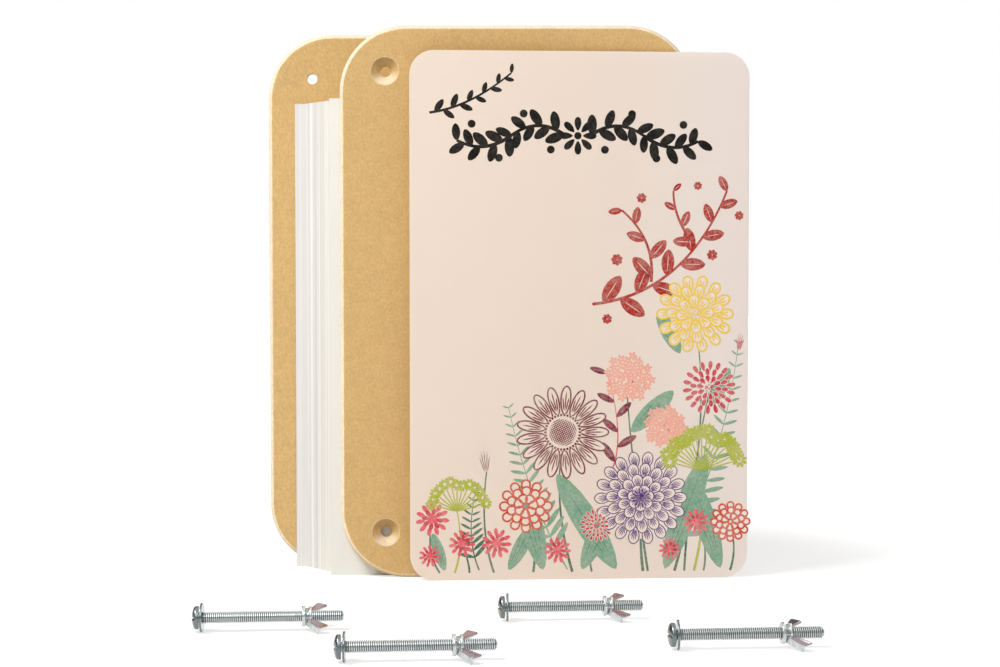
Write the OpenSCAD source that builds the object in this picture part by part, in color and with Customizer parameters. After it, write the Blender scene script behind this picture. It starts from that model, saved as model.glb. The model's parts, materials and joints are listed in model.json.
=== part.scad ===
// Flower press, taken apart and stood up to show its pieces.
// +X runs to the right, +Y away from the front and +Z up. The origin is on the floor,
// at the middle of the flat foot of the front board.

/* [Boards] */
// Width of each board
board_w = 144; // [120:1:190]
// Height of each board
board_h = 225; // [190:1:300]
// Thickness of each board
board_t = 6; // [5:0.5:12]
// Radius of a board's corners
board_corner_r = 27; // [15:1:40]
// Radius of the round-over along a board's edges
board_edge_r = 2; // [0.5:0.1:2.4]
// Distance from a bolt hole's axis to the two nearest edges
hole_inset = 18.5; // [14:0.5:24]
// Depth of the sink round each bolt hole
sink_depth = 3; // [1:0.1:4]

/* [Papers] */
// Number of white divider cards
divider_count = 20; // [4:1:24]
// Thickness of a divider card
divider_t = 0.8; // [0.4:0.1:1.2]
// Number of cream blotting sheets
blotter_count = 8; // [2:1:12]
// Thickness of a blotting sheet
blotter_t = 1.2; // [0.4:0.1:2]
// Margin above and below the sheets, in the closed press
sheet_end_margin = 14.5; // [10:0.5:25]
// Free play between a sheet's long edge and the bolts, in the closed press
sheet_side_play = 1.5; // [0.5:0.1:5]

/* [Cover card] */
// Width of the cover card
card_w = 138; // [120:1:150]
// Height of the cover card
card_h = 214; // [170:1:250]
// Thickness of the cover card
card_t = 1.1; // [0.5:0.1:2]
// Radius of the cover card's corners
card_corner_r = 10; // [2:0.5:20]

/* [Bolts] */
// Outer diameter of the thread
bolt_d = 4; // [3:0.1:5]
// Length of the shank under the head
shank_l = 50; // [42:1:70]
// Distance from one turn of the thread to the next
thread_pitch = 0.7; // [0.5:0.05:1]
// Length of the plain neck between the head and the thread
neck_l = 1.2; // [0.5:0.1:3]
// Diameter of the head
head_d = 8; // [7:0.1:9]
// Height of the head
head_h = 2.4; // [2:0.1:3]
// Radius of the round edge between the head's rim and its crown
head_edge_r = 0.8; // [0.4:0.1:1.2]
// Radius of the head's crown
head_crown_r = 8.3; // [6:0.1:20]
// Width of the screwdriver slot
slot_w = 1.1; // [0.6:0.1:1.6]
// Depth of the screwdriver slot
slot_depth = 1.1; // [0.5:0.1:1.4]

/* [Washers] */
// Outer diameter of a washer
washer_d = 10; // [9:0.1:12]
// Thickness of a washer
washer_t = 0.8; // [0.5:0.1:1.5]

/* [Wing nuts] */
// Distance across the two wings
wing_span = 19.5; // [17:0.5:24]
// Overall height, from the foot to the top of the wings
nut_h = 8.8; // [8:0.1:10]
// Height of the round hub
hub_h = 3.4; // [2.5:0.1:4]
// Wall of the hub round the thread, between its two rings
hub_wall = 0.8; // [0.6:0.1:1.5]
// Height of the foot ring
flange_h = 1.2; // [0.6:0.1:1.5]
// How far the foot ring stands out from the hub
flange_out = 0.7; // [0.2:0.1:0.9]
// Height of the upper ring
collar_h = 0.9; // [0.5:0.1:1.2]
// How far the upper ring stands out from the hub
collar_out = 0.55; // [0.2:0.05:0.9]
// Thickness of the sheet of a wing
wing_t = 0.7; // [0.5:0.1:1.5]
// Depth of the wall that is folded down along a wing's outer edge
wing_wall_h = 2.7; // [1.5:0.1:3.5]
// Width of a wing's square end
wing_end_w = 4; // [2:0.1:5]
// Radius of the corners of a wing's end
wing_corner_r = 0.7; // [0.3:0.1:1.2]

/* [Layout] */
// How far the cover card is turned from the boards, in degrees
card_turn = 4.2; // [2:0.1:8]
// How far the bolts are turned from the boards, in degrees
bolt_turn = 5.5; // [0:0.5:12]
// How far each loose washer leans on its bolt, in degrees
washer_lean = 5; // [0:0.5:8]
// Distance of each wing nut's foot from the bolt head
nut_at = 35.6; // [15:0.1:37]
// Step from one fanned divider card to the next
fan_step = 0.6; // [0.2:0.1:0.8]
// Extra step of the rearmost divider card
fan_last_step = 3.9; // [0:0.1:6]

/* [Hidden] */
$fn = 72;
// Overrun of every cut past the surface that it opens
cut = 1;

// Clearances
stack_gap = 0.3;
sheet_gap = 0.03;
hole_play = 0.25;
washer_play = 0.15;
washer_gap = 0.35;
nut_play = 0.05;
sink_play = 0.7;

// Places of the papers and the cover card, as shares of the board's width
pad_x_share = -0.185;
back_board_x_share = -0.226;
card_x_share = 0.178;
// Places of the four bolts' middles, as shares of the board's width
bolt_x_shares = [-0.607, -0.235, 0.128, 0.517];
bolt_y_shares = [-0.910, -1.300, -0.752, -1.146];

// Bolt holes
hole_r = bolt_d / 2 + hole_play;
sink_r = washer_d / 2 + sink_play;
hole_x = board_w / 2 - hole_inset;
hole_z = board_h / 2 - hole_inset;

// Papers, cut to pass between the bolts of the closed press
sheet_w = board_w - 2 * hole_inset - bolt_d - 2 * sheet_side_play;
sheet_h = board_h - 2 * sheet_end_margin;
pad_x = pad_x_share * board_w;
pad_y = board_t / 2 + stack_gap;
pad_depth = blotter_count * (blotter_t + sheet_gap) - sheet_gap;
dividers_y = pad_y + pad_depth + stack_gap;
dividers_depth = divider_count * (divider_t + sheet_gap) - sheet_gap;
back_board_x = back_board_x_share * board_w;
back_board_y = dividers_y + dividers_depth + stack_gap + board_t / 2;
// Small sideways scatter of the fanned cards
fan_scatter = 0.22;
fan_scatter_turn = 137;

// The cover card's rear face passes one clearance in front of the front board's edge
card_x = card_x_share * board_w;
edge_x = board_w / 2 - board_edge_r;
edge_y = board_edge_r - board_t / 2;
card_reach = card_t / 2 + stack_gap + board_edge_r + (edge_x - card_x) * sin(card_turn);
card_y = edge_y - card_reach / cos(card_turn);

// Thread, with flanks at 30 degrees to the square of the axis
flank_angle = 30;
crest_flat = thread_pitch / 8;
root_flat = thread_pitch / 4;
flank_l = (thread_pitch - crest_flat - root_flat) / 2;
thread_depth = flank_l / tan(flank_angle);
crest_r = bolt_d / 2;
root_r = crest_r - thread_depth;
tip_l = thread_pitch;
tip_chamfer = thread_depth;
thread_turns = floor((shank_l - neck_l - tip_l) / thread_pitch);

// Bolt head, a pan whose edge runs smoothly into its crown
head_r = head_d / 2;
edge_x_at = head_r - head_edge_r;
edge_rise = sqrt(pow(head_crown_r - head_edge_r, 2) - pow(edge_x_at, 2));
head_rim_h = head_h - head_crown_r + edge_rise;
crown_angle = asin(edge_x_at / (head_crown_r - head_edge_r));
edge_steps = 6;
crown_steps = 6;

// The washer leans about its middle and stays clear of the head
washer_at = washer_gap + head_r * sin(washer_lean);

// Wing nut
bore_r = bolt_d / 2 + nut_play;
hub_r = bore_r + hub_wall;
flange_r = hub_r + flange_out;
collar_r = hub_r + collar_out;
hub_edge = 0.25;
wing_r = wing_span / 2;
// A wing starts inside the hub's wall, this far from the bore
wing_root = 0.3;
root_x = bore_r + wing_root;
wing_low = [root_x, flange_h];
wing_high = [root_x, hub_h - hub_edge];
// The end's corner circles, one at the full reach and one at the full height
// Angle of the end's edge to the square of the axis
end_slope = 59;
end_l = wing_end_w - 2 * wing_corner_r;
end_low = [wing_r - wing_corner_r, nut_h - wing_corner_r - end_l * sin(end_slope)];
end_high = end_low + end_l * [-cos(end_slope), sin(end_slope)];
end_out = wing_corner_r * [sin(end_slope), cos(end_slope)];
// The upper side of the sheet stands this far above the bolt's axis
wing_rise = 0.35;

// Each set lies on its washer's rim and on the folded wall of one wing
axis_h = max(washer_d, head_d) / 2;
wall_end = tangent_point(wing_low, end_low, wing_corner_r, -1);
wall_foot = [wall_end[0], wing_wall_h - wing_rise];
wing_lean = asin(axis_h / norm(wall_foot)) - atan2(wall_foot[1], wall_foot[0]);
bolt_middle = (shank_l - head_h) / 2;

function two_digits(n) = n < 10 ? str("0", n) : str(n);
function divider_name(n) = str("divider_card_", two_digits(n));
function blotter_name(n) = str("blotting_sheet_", two_digits(n));

// Boards

// Half of a slab's section, from its inside to one rounded edge
module edge_section(reach, t, edge_r) {
    straight = reach - edge_r;
    translate([0, -t / 2]) square([straight, t]);
    translate([0, edge_r - t / 2]) square([reach, t - 2 * edge_r]);
    for (side = [-1, 1]) translate([straight, side * (t / 2 - edge_r)]) circle(r = edge_r);
}

// A straight rounded rim, centred on the origin and facing +X
module rim(length, reach, t, edge_r) {
    rotate([90, 0, 0]) linear_extrude(height = length, center = true) edge_section(reach, t, edge_r);
}

// A flat slab in the XY plane with round corners and rounded edges
module rounded_slab(w, h, t, corner_r, edge_r) {
    inner_w = w - 2 * corner_r;
    inner_h = h - 2 * corner_r;
    cube([inner_w, inner_h, t], center = true);
    for (turn = [0, 180]) rotate([0, 0, turn]) {
        translate([inner_w / 2, 0, 0]) rim(inner_h, corner_r, t, edge_r);
        translate([0, inner_h / 2, 0]) rotate([0, 0, 90]) rim(inner_w, corner_r, t, edge_r);
        translate([inner_w / 2, inner_h / 2, 0])
            rotate_extrude(angle = 90) edge_section(corner_r, t, edge_r);
        translate([-inner_w / 2, inner_h / 2, 0])
            rotate([0, 0, 90]) rotate_extrude(angle = 90) edge_section(corner_r, t, edge_r);
    }
}

// The cutter for a bolt hole along +Y, with its sink at the outer face
module bolt_hole() {
    slope = (sink_r - hole_r) / sink_depth;
    rotate([-90, 0, 0]) {
        translate([0, 0, -cut]) cylinder(h = board_t + 2 * cut, r = hole_r);
        translate([0, 0, -cut])
            cylinder(h = sink_depth + cut, r1 = sink_r + cut * slope, r2 = hole_r);
    }
}

// A board standing on the floor with its outer face to the front
module press_board() {
    color("burlywood") translate([0, 0, board_h / 2]) difference() {
        rotate([90, 0, 0]) rounded_slab(board_w, board_h, board_t, board_corner_r, board_edge_r);
        for (x = [-hole_x, hole_x], z = [-hole_z, hole_z])
            translate([x, -board_t / 2, z]) bolt_hole();
    }
}

module front_board() { press_board(); }

module back_board() {
    translate([back_board_x, back_board_y, 0]) rotate([0, 0, 180]) press_board();
}

// Papers

// A sheet standing on the floor, from its front face back
module sheet(x, y, t) {
    translate([x - sheet_w / 2, y, 0]) cube([sheet_w, t, sheet_h]);
}

// Blotting sheet 1 is the front one
module blotting_sheet(n) {
    color("cornsilk") sheet(pad_x, pad_y + (n - 1) * (blotter_t + sheet_gap), blotter_t);
}

// Divider card 1 is the front one. The cards step to the left towards the back.
module divider_card(n) {
    last_step = n == divider_count ? fan_last_step : 0;
    scatter = fan_scatter * sin(n * fan_scatter_turn);
    x = pad_x - (n + 1) * fan_step - last_step + scatter;
    color("whitesmoke") sheet(x, dividers_y + (n - 1) * (divider_t + sheet_gap), divider_t);
}

// Cover card

module rounded_rectangle(w, h, r) {
    square([w - 2 * r, h], center = true);
    square([w, h - 2 * r], center = true);
    for (x = [-1, 1], y = [-1, 1]) translate([x * (w / 2 - r), y * (h / 2 - r)]) circle(r = r);
}

module cover_card() {
    color("mistyrose") translate([card_x, card_y, card_h / 2])
        rotate([0, 0, card_turn]) rotate([90, 0, 0])
            linear_extrude(height = card_t, center = true)
                rounded_rectangle(card_w, card_h, card_corner_r);
}

// Bolts, washers and wing nuts
// Each is drawn along +Z, from the underside of the head to the tip of the shank.

// Puts a piece of set n in its place on the floor, with the head to the left
module at_bolt(n) {
    translate([bolt_x_shares[n - 1] * board_w, bolt_y_shares[n - 1] * board_w, axis_h])
        rotate([0, 0, bolt_turn]) rotate([0, 90, 0]) translate([0, 0, -bolt_middle]) children();
}

// Half of the shank's section, with one ridge for each turn of the thread
module shank_section() {
    ridges = [for (i = [0:thread_turns - 1])
        let (z = neck_l + i * thread_pitch)
        each [
            [root_r, z],
            [crest_r, z + flank_l],
            [crest_r, z + flank_l + crest_flat],
            [root_r, z + 2 * flank_l + crest_flat]
        ]];
    tip = [[root_r, shank_l - tip_l], [root_r - tip_chamfer, shank_l], [0, shank_l]];
    polygon(concat([[0, -head_rim_h], [root_r, -head_rim_h]], ridges, tip));
}

// Points on a circle round c, from angle a to angle b
function arc_points(c, r, a, b, steps) =
    [for (i = [0:steps]) let (turn = a + (b - a) * i / steps) c + r * [cos(turn), sin(turn)]];

module head() {
    edge = arc_points([edge_x_at, -head_rim_h], head_edge_r, 0, crown_angle - 90, edge_steps);
    crown = arc_points([0, head_crown_r - head_h], head_crown_r, crown_angle - 90, -90, crown_steps);
    // The crown starts one step on, because the edge already ends at its first point
    low = [for (i = [1:crown_steps - 1]) crown[i]];
    rotate_extrude() polygon(concat([[0, 0], [head_r, 0]], edge, low, [[0, -head_h]]));
}

module bolt(n) {
    color("silver") at_bolt(n) difference() {
        union() {
            head();
            rotate_extrude() shank_section();
        }
        translate([0, 0, slot_depth / 2 - head_h - cut / 2])
            cube([slot_w, head_d + 2 * cut, slot_depth + cut], center = true);
    }
}

module washer(n) {
    color("lightgray") at_bolt(n) translate([0, 0, washer_at]) rotate([washer_lean, 0, 0])
        difference() {
            cylinder(h = washer_t, d = washer_d);
            translate([0, 0, -cut]) cylinder(h = washer_t + 2 * cut, r = bolt_d / 2 + washer_play);
        }
}

// Where the line from point p touches the circle round c, on the side that turn gives
function tangent_point(p, c, r, turn) =
    let (d = norm(c - p), a = atan2(c[1] - p[1], c[0] - p[0]) + turn * asin(r / d))
    p + sqrt(d * d - r * r) * [cos(a), sin(a)];

// A wing's outline beside the axis: a blade that widens to a square end
module wing_outline(side) {
    flip = [[side, 0], [0, 1]];
    polygon([for (p = [
        wing_low,
        wall_end,
        end_low,
        end_low + end_out,
        end_high + end_out,
        end_high,
        tangent_point(wing_high, end_high, wing_corner_r, 1),
        wing_high
    ]) flip * p]);
    for (p = [end_low, end_high]) translate(flip * p) circle(r = wing_corner_r);
}

// The folded wall's outline, a strip along the outer edge of the wing
module wall_outline(side) {
    flip = [[side, 0], [0, 1]];
    along = (wall_end - wing_low) / norm(wall_end - wing_low);
    inward = wing_t * [-along[1], along[0]];
    polygon([for (p = [wing_low, wall_end, wall_end + inward, wing_low + inward]) flip * p]);
}

module wing(side) {
    rotate([90, 0, 0]) {
        translate([0, 0, wing_rise - wing_t]) linear_extrude(height = wing_t) wing_outline(side);
        translate([0, 0, wing_rise - wing_wall_h])
            linear_extrude(height = wing_wall_h - wing_t / 2) wall_outline(side);
    }
}

module hub_section() {
    collar_z = hub_h - collar_h;
    polygon([
        [0, 0],
        [flange_r - hub_edge, 0],
        [flange_r, hub_edge],
        [flange_r, flange_h - hub_edge],
        [hub_r, flange_h],
        [hub_r, collar_z],
        [collar_r, collar_z + hub_edge],
        [collar_r, hub_h - hub_edge],
        [collar_r - hub_edge, hub_h],
        [0, hub_h]
    ]);
}

module wing_nut(n) {
    color("gainsboro") at_bolt(n) translate([0, 0, nut_at]) rotate([0, 0, wing_lean - 90])
        difference() {
            union() {
                rotate_extrude() hub_section();
                wing(1);
                wing(-1);
            }
            translate([0, 0, -cut]) cylinder(h = nut_h + 2 * cut, r = bore_r);
        }
}

front_board();
back_board();
cover_card();
for (n = [1:divider_count]) divider_card(n);
for (n = [1:blotter_count]) blotting_sheet(n);
for (n = [1:4]) bolt(n);
for (n = [1:4]) washer(n);
for (n = [1:4]) wing_nut(n);
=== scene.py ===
"""Flower press: two fibreboards, fanned papers, a printed cover card and four bolt sets."""

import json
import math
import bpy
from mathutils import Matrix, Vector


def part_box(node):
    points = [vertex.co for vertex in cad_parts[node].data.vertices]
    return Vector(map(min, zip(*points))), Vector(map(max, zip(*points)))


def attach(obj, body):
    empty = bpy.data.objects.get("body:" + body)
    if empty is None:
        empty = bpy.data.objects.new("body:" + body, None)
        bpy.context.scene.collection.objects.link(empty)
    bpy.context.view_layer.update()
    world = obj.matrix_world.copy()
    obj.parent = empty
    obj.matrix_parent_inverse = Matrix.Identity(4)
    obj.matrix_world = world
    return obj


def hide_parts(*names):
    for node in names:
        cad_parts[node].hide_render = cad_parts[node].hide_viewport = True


bl_info = {
    "name": "Flower press",
    "version": (1, 0, 0),
    "blender": (4, 5, 0),
    "location": "3D View > Sidebar > Flower press",
    "description": "Builds the finishes and fine pieces of a flower press around its packed model",
    "category": "Object",
}

from types import SimpleNamespace

import bmesh
import bpy
from bpy.props import FloatProperty, FloatVectorProperty, IntProperty, PointerProperty
from mathutils import Matrix, Vector

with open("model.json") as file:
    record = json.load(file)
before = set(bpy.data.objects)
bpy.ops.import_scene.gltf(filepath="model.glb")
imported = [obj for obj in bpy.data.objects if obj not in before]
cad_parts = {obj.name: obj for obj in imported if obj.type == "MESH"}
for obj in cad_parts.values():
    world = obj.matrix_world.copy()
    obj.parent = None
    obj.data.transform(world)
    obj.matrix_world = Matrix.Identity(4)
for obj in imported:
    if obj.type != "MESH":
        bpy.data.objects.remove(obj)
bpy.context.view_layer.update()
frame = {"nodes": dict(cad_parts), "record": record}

MM = 0.001
UP = Vector((0, 0, 1))
FRONT = Vector((0, -1, 0))
WHITE = (1, 1, 1, 1)
GOLDEN_ANGLE = math.pi * (3 - math.sqrt(5))
SETS = range(1, 5)  # numbers of the bolt sets


# Settings

def linear(red, green, blue):
    """A display colour from 0 to 255 as the linear colour that a shader takes."""
    shares = (value / 255 for value in (red, green, blue))
    return (*(s / 12.92 if s <= 0.04045 else ((s + 0.055) / 1.055) ** 2.4 for s in shares), 1)


def colour(name, description, *display):
    """A colour setting with its default as a display colour."""
    return FloatVectorProperty(name=name, description=description, subtype="COLOR", size=4, min=0, max=1,
                               default=linear(*display))


def length(name, description, millimetres):
    """A length setting with its default in millimetres."""
    return FloatProperty(name=name, description=description, subtype="DISTANCE", unit="LENGTH",
                         default=millimetres * MM, min=0)


def amount(name, description, default, **more):
    """A setting that is a plain number."""
    return FloatProperty(name=name, description=description, default=default, **{"min": 0, **more})


class BoardSettings(bpy.types.PropertyGroup):
    face: colour("Face", "Colour of the board's flat faces", 214, 177, 117)
    # The edge colour is paler cut fibre, made paler still as painted rim light.
    edge: colour("Edge", "Colour of the cut and rounded edges", 244, 226, 196)
    speck: colour("Specks", "Colour of the dark fibre specks", 120, 84, 42)
    pale: colour("Pale fibres", "Colour of the pale fibre specks", 240, 218, 178)
    edge_start: length("Edge start", "Depth under the face at which the edge colour is full", 0.15)
    hole_inset: length("Hole inset", "Distance from a bolt hole's axis to the board's edges", 18.5)
    sink_radius: length("Sink radius", "Radius of the sink round a bolt hole", 5.7)


class PaperSettings(bpy.types.PropertyGroup):
    rear: colour("Rear card", "Colour of the rearmost divider card", 241, 238, 234)
    front: colour("Front card", "Colour of the frontmost divider card", 228, 226, 217)
    pad: colour("Blotting paper", "Colour of the blotting sheets", 247, 245, 238)
    cut: colour("Cut edge", "Colour of the papers' cut edges", 240, 237, 228)
    corner: length("Edge rounding", "Radius on the long edges of a sheet", 0.14)
    sway: length("Sway", "How far a sheet's edge wanders along its height", 0.09)
    lines: amount("Lines", "Strength of the fine upright lines on the divider cards", 0.06, max=0.5)


class CoverSettings(bpy.types.PropertyGroup):
    ground: colour("Ground", "Colour of the bare cover card", 238, 220, 204)
    # Painted sheen: the card's ground turns lighter towards its right edge.
    ground_right: colour("Ground, right", "Colour of the card towards its right edge", 242, 228, 219)
    core: colour("Core", "Colour of the card's cut edge", 250, 240, 226)
    print_room: length("Print room", "Depth that the card leaves for the print", 0.16)
    rounding: length("Rounding", "Radius on the card's long edges", 0.2)
    corner: length("Corner", "Radius of the card's four corners", 10)


class PrintSettings(bpy.types.PropertyGroup):
    black: colour("Black", "Ink of the garland", 14, 11, 8)
    red: colour("Red", "Ink of the twig and its leaves", 176, 34, 26)
    yellow: colour("Yellow", "Ink of the double daisy", 244, 206, 84)
    crimson: colour("Crimson", "Ink of the tulips and carnations", 206, 52, 72)
    pink: colour("Pink", "Ink of the clover sprays", 230, 88, 104)
    green: colour("Green", "Ink of the ferns and leaves", 122, 166, 138)
    moss: colour("Moss", "Ink of veins and stems", 58, 108, 82)
    purple: colour("Purple", "Ink of the ornamental onion", 84, 46, 122)
    burgundy: colour("Burgundy", "Ink of the star flower", 118, 24, 54)
    lime: colour("Lime", "Ink of the dill umbels", 176, 184, 44)
    orange: colour("Orange", "Ink of the marigolds", 208, 70, 36)
    peach: colour("Peach", "Ink of the small filler flowers", 244, 172, 150)
    layer: length("Ink layer", "Height from one ink layer to the next", 0.012)


class HardwareSettings(bpy.types.PropertyGroup):
    zinc: colour("Zinc", "Colour of the bright plating", 226, 230, 229)
    # Painted reflection: the pink of the cover card as mirrored in the wings' upper sides.
    wing_zinc: colour("Wing zinc", "Colour of the plating on the upper side of the wings", 174, 160, 170)
    dull: colour("Dull zinc", "Colour of the plating's duller clouds", 178, 184, 184)
    # Painted shade and painted dark reflection: darkens the thread's roots and first turns, the heads, the
    # washers' rims and the hub's groove.
    root: colour("Thread root and rim", "Colour in the thread's roots, on heads and on rims", 106, 118, 118)
    pitch: length("Pitch", "Travel of the thread in one turn", 0.7)
    crest: length("Crest radius", "Outer radius of the thread", 2)
    core: length("Core radius", "Radius at the foot of the thread", 1.621)
    crest_flat: length("Crest flat", "Width of the thread's crest", 0.32)
    ridge: length("Ridge foot", "Width of the thread's ridge at its foot", 0.48)
    thread_sheen: amount("Thread sheen", "Roughness that the rolled thread adds", 0.12, max=0.6)
    neck: length("Neck", "Plain length under the head", 1.2)
    head_height: length("Head height", "Height of the pan head", 2.4)
    head_edge: length("Head edge", "Radius between the head's rim and its crown", 0.8)
    head_crown: length("Head crown", "Radius of the head's crown", 8.3)
    slot_width: length("Slot width", "Width of the screwdriver slot", 1.1)
    slot_depth: length("Slot depth", "Depth of the screwdriver slot", 1.1)
    rounding: length("Rounding", "Radius on the edges of heads and washers", 0.12)
    hub_height: length("Hub height", "Height of the wing nut's hub", 3.4)
    hub_radius: length("Hub radius", "Radius of the hub between its two rings", 2.85)
    flange_height: length("Foot ring height", "Height of the hub's foot ring", 1.2)
    flange_out: length("Foot ring", "How far the foot ring stands out", 0.7)
    collar_height: length("Upper ring height", "Height of the hub's upper ring", 0.9)
    collar_out: length("Upper ring", "How far the upper ring stands out", 0.55)
    ring_edge: length("Ring edge", "Radius on the edges of the two rings", 0.25)
    bore: length("Bore radius", "Radius of the wing nut's bore", 2.05)
    wing_root: length("Wing root", "How far from the bore a wing begins", 0.3)
    wing_thickness: length("Wing sheet", "Thickness of a wing's sheet", 0.7)
    wing_rise: length("Wing rise", "How far the sheet's upper side lies above the axis", 0.35)
    wing_end: length("Wing end", "Width of a wing's square end", 4)
    wing_corner: length("Wing corner", "Radius of the corners of a wing's end", 0.7)
    end_slope: amount("End slope", "Angle of a wing's end to the square of the axis, in degrees", 59,
                      min=30, max=85)
    wall_height: length("Folded wall", "Depth of the wall folded down along a wing", 2.7)
    sheet_edge: length("Sheet edge", "Radius on the edges of the sheet", 0.16)
    turn_steps: IntProperty(name="Steps a turn", description="Straight pieces in one turn of the thread",
                            default=24, min=12, max=48)


class StageSettings(bpy.types.PropertyGroup):
    floor: colour("Floor", "Colour of the floor", 250, 250, 250)
    camera_place: FloatVectorProperty(name="Camera place", description="Where the camera stands",
                                      subtype="TRANSLATION", unit="LENGTH", default=(-0.0068, -0.836, 0.1218))
    camera_tilt: amount("Camera tilt", "How far the camera looks down", math.radians(2.5),
                        subtype="ANGLE", unit="ROTATION")
    lens: amount("Lens", "Focal length of the camera, in millimetres", 73.55,
                 subtype="DISTANCE_CAMERA", min=10)
    shift: amount("Shift", "Upward shift of the lens", 0.0357)
    floor_glow: amount("Floor glow", "Light that the floor near the press seems to give off", 0.6, max=1)
    key: amount("Key lamp", "Power of the main soft lamp, in watts", 11)
    fill: amount("Fill lamp", "Power of the fill lamp, in watts", 3.6)
    rear: amount("Rear lamp", "Power of the soft lamp behind the press, in watts", 5)
    sky: amount("Sky", "Strength of the light from all round", 0.34)


class PressSettings(bpy.types.PropertyGroup):
    board: PointerProperty(type=BoardSettings)
    paper: PointerProperty(type=PaperSettings)
    cover: PointerProperty(type=CoverSettings)
    inks: PointerProperty(type=PrintSettings)
    hardware: PointerProperty(type=HardwareSettings)
    stage: PointerProperty(type=StageSettings)


class Millimetres:
    """Reads a group's lengths in millimetres."""

    def __init__(self, settings):
        self.settings = settings

    def __getattr__(self, name):
        return getattr(self.settings, name) / MM


# Node trees

class Value:
    """A node's output, which can be reckoned with and can give the node's other outputs."""

    def __init__(self, socket):
        self.socket = socket

    def __getitem__(self, output):
        return Value(self.socket.node.outputs[output])

    def __add__(self, other):
        return calc("ADD", self, other)

    def __sub__(self, other):
        return calc("SUBTRACT", self, other)

    def __rsub__(self, other):
        return calc("SUBTRACT", other, self)

    def __mul__(self, other):
        return calc("MULTIPLY", self, other)

    def __truediv__(self, other):
        return calc("DIVIDE", self, other)

    def __rtruediv__(self, other):
        return calc("DIVIDE", other, self)


def spaced(names):
    """Values by socket name, from names with underscores for spaces."""
    return {name.replace("_", " "): value for name, value in names.items()}


def feed(node, inputs):
    """Gives a node's inputs their plain values or the outputs that feed them, and skips None."""
    for key, value in inputs.items():
        if isinstance(value, Value):
            node.id_data.links.new(value.socket, node.inputs[key])
        elif value is not None:
            node.inputs[key].default_value = value


def add(kind, *values, tree=None, out=0, **named):
    """Adds a node and gives one of its outputs.

    Values feed the first inputs in order. A name with a capital is an input, any other a setting.
    The tree can be left out where an input is fed by an output.
    """
    inputs = {**dict(enumerate(values)), **spaced({k: v for k, v in named.items() if k[0].isupper()})}
    if not tree:
        tree = next(value.socket.id_data for value in inputs.values() if isinstance(value, Value))
    node = tree.nodes.new(kind)
    for key, value in named.items():
        if not key[0].isupper():
            setattr(node, key, value)
    feed(node, inputs)
    return Value(node.outputs[out])


def calc(operation, *values):
    """The result of a math node."""
    return add("ShaderNodeMath", *values, operation=operation)


def vector_calc(operation, *values, out=0):
    """The result of a vector math node."""
    return add("ShaderNodeVectorMath", *values, operation=operation, out=out)


def ramp(value, low, high, start=0.0, end=1.0):
    """Maps a value from one range to another and holds it at the ends."""
    return add("ShaderNodeMapRange", value, low, high, start, end, interpolation_type="SMOOTHSTEP")


def mixed(share, first, second):
    """A value between two others."""
    return add("ShaderNodeMix", share, None, first, second)


def blended(share, first, second, blend="MIX"):
    """Mixes two colours."""
    return add("ShaderNodeMix", share, *[None] * 5, first, second, data_type="RGBA", blend_type=blend, out=2)


def grey(light):
    """A grey of some lightness."""
    return add("ShaderNodeCombineColor", light, light, light)


def shaded(tone, light):
    """A colour made lighter or darker."""
    return blended(1.0, tone, grey(light), "MULTIPLY")


def vector(x=0.0, y=0.0, z=0.0):
    """A vector from three values."""
    return add("ShaderNodeCombineXYZ", x, y, z)


def parts(place):
    """The three values of a vector."""
    split = add("ShaderNodeSeparateXYZ", place)
    return split[0], split[1], split[2]


def noise(place, scale, detail=2.0, roughness=0.5, stretch=None):
    """A noise value from 0 to 1 with its features one share of a metre wide."""
    if stretch:
        place = add("ShaderNodeMapping", Vector=place, Scale=stretch)
    return add("ShaderNodeTexNoise", Vector=place, Scale=scale, Detail=detail, Roughness=roughness)


def new_tree(name, kind, outputs, inputs):
    """An empty node group, the outputs of its entry by name, and its exit node.

    A socket is given as its kind, or as a default value that shows its kind.
    """
    tree = bpy.data.node_groups.new(name, kind)
    for side, sockets in (("INPUT", inputs), ("OUTPUT", outputs)):
        for label, default in spaced(sockets).items():
            plain = isinstance(default, str)
            socket = "NodeSocket" + (default if plain else type(default).__name__.title())
            made = tree.interface.new_socket(label, in_out=side, socket_type=socket)
            if not plain:
                made.default_value = default
    entry = tree.nodes.new("NodeGroupInput").outputs
    enter = SimpleNamespace(**{name: Value(entry[label]) for name, label in zip(inputs, spaced(inputs))})
    return tree, enter, tree.nodes.new("NodeGroupOutput")


# Pieces

def linked(name, data):
    """An object in the scene."""
    thing = bpy.data.objects.new(name, data)
    bpy.context.collection.objects.link(thing)
    return thing


def grown(tree, base=None, **inputs):
    """The plain mesh that a geometry tree grows from its inputs."""
    thing = linked(tree.name, base or bpy.data.meshes.new(tree.name))
    modifier = thing.modifiers.new(tree.name, "NODES")
    modifier.node_group = tree
    sockets = {
        item.name: item
        for item in tree.interface.items_tree
        if item.item_type == "SOCKET" and item.in_out == "INPUT"
    }
    for name, value in spaced(inputs).items():
        decimal = sockets[name].socket_type == "NodeSocketFloat"
        modifier[sockets[name].identifier] = float(value) if decimal else value
    graph = bpy.context.evaluated_depsgraph_get()
    mesh = bpy.data.meshes.new_from_object(
        thing.evaluated_get(graph), preserve_all_data_layers=True, depsgraph=graph
    )
    thing.modifiers.remove(modifier)
    bpy.data.objects.remove(thing)
    return mesh


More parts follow.
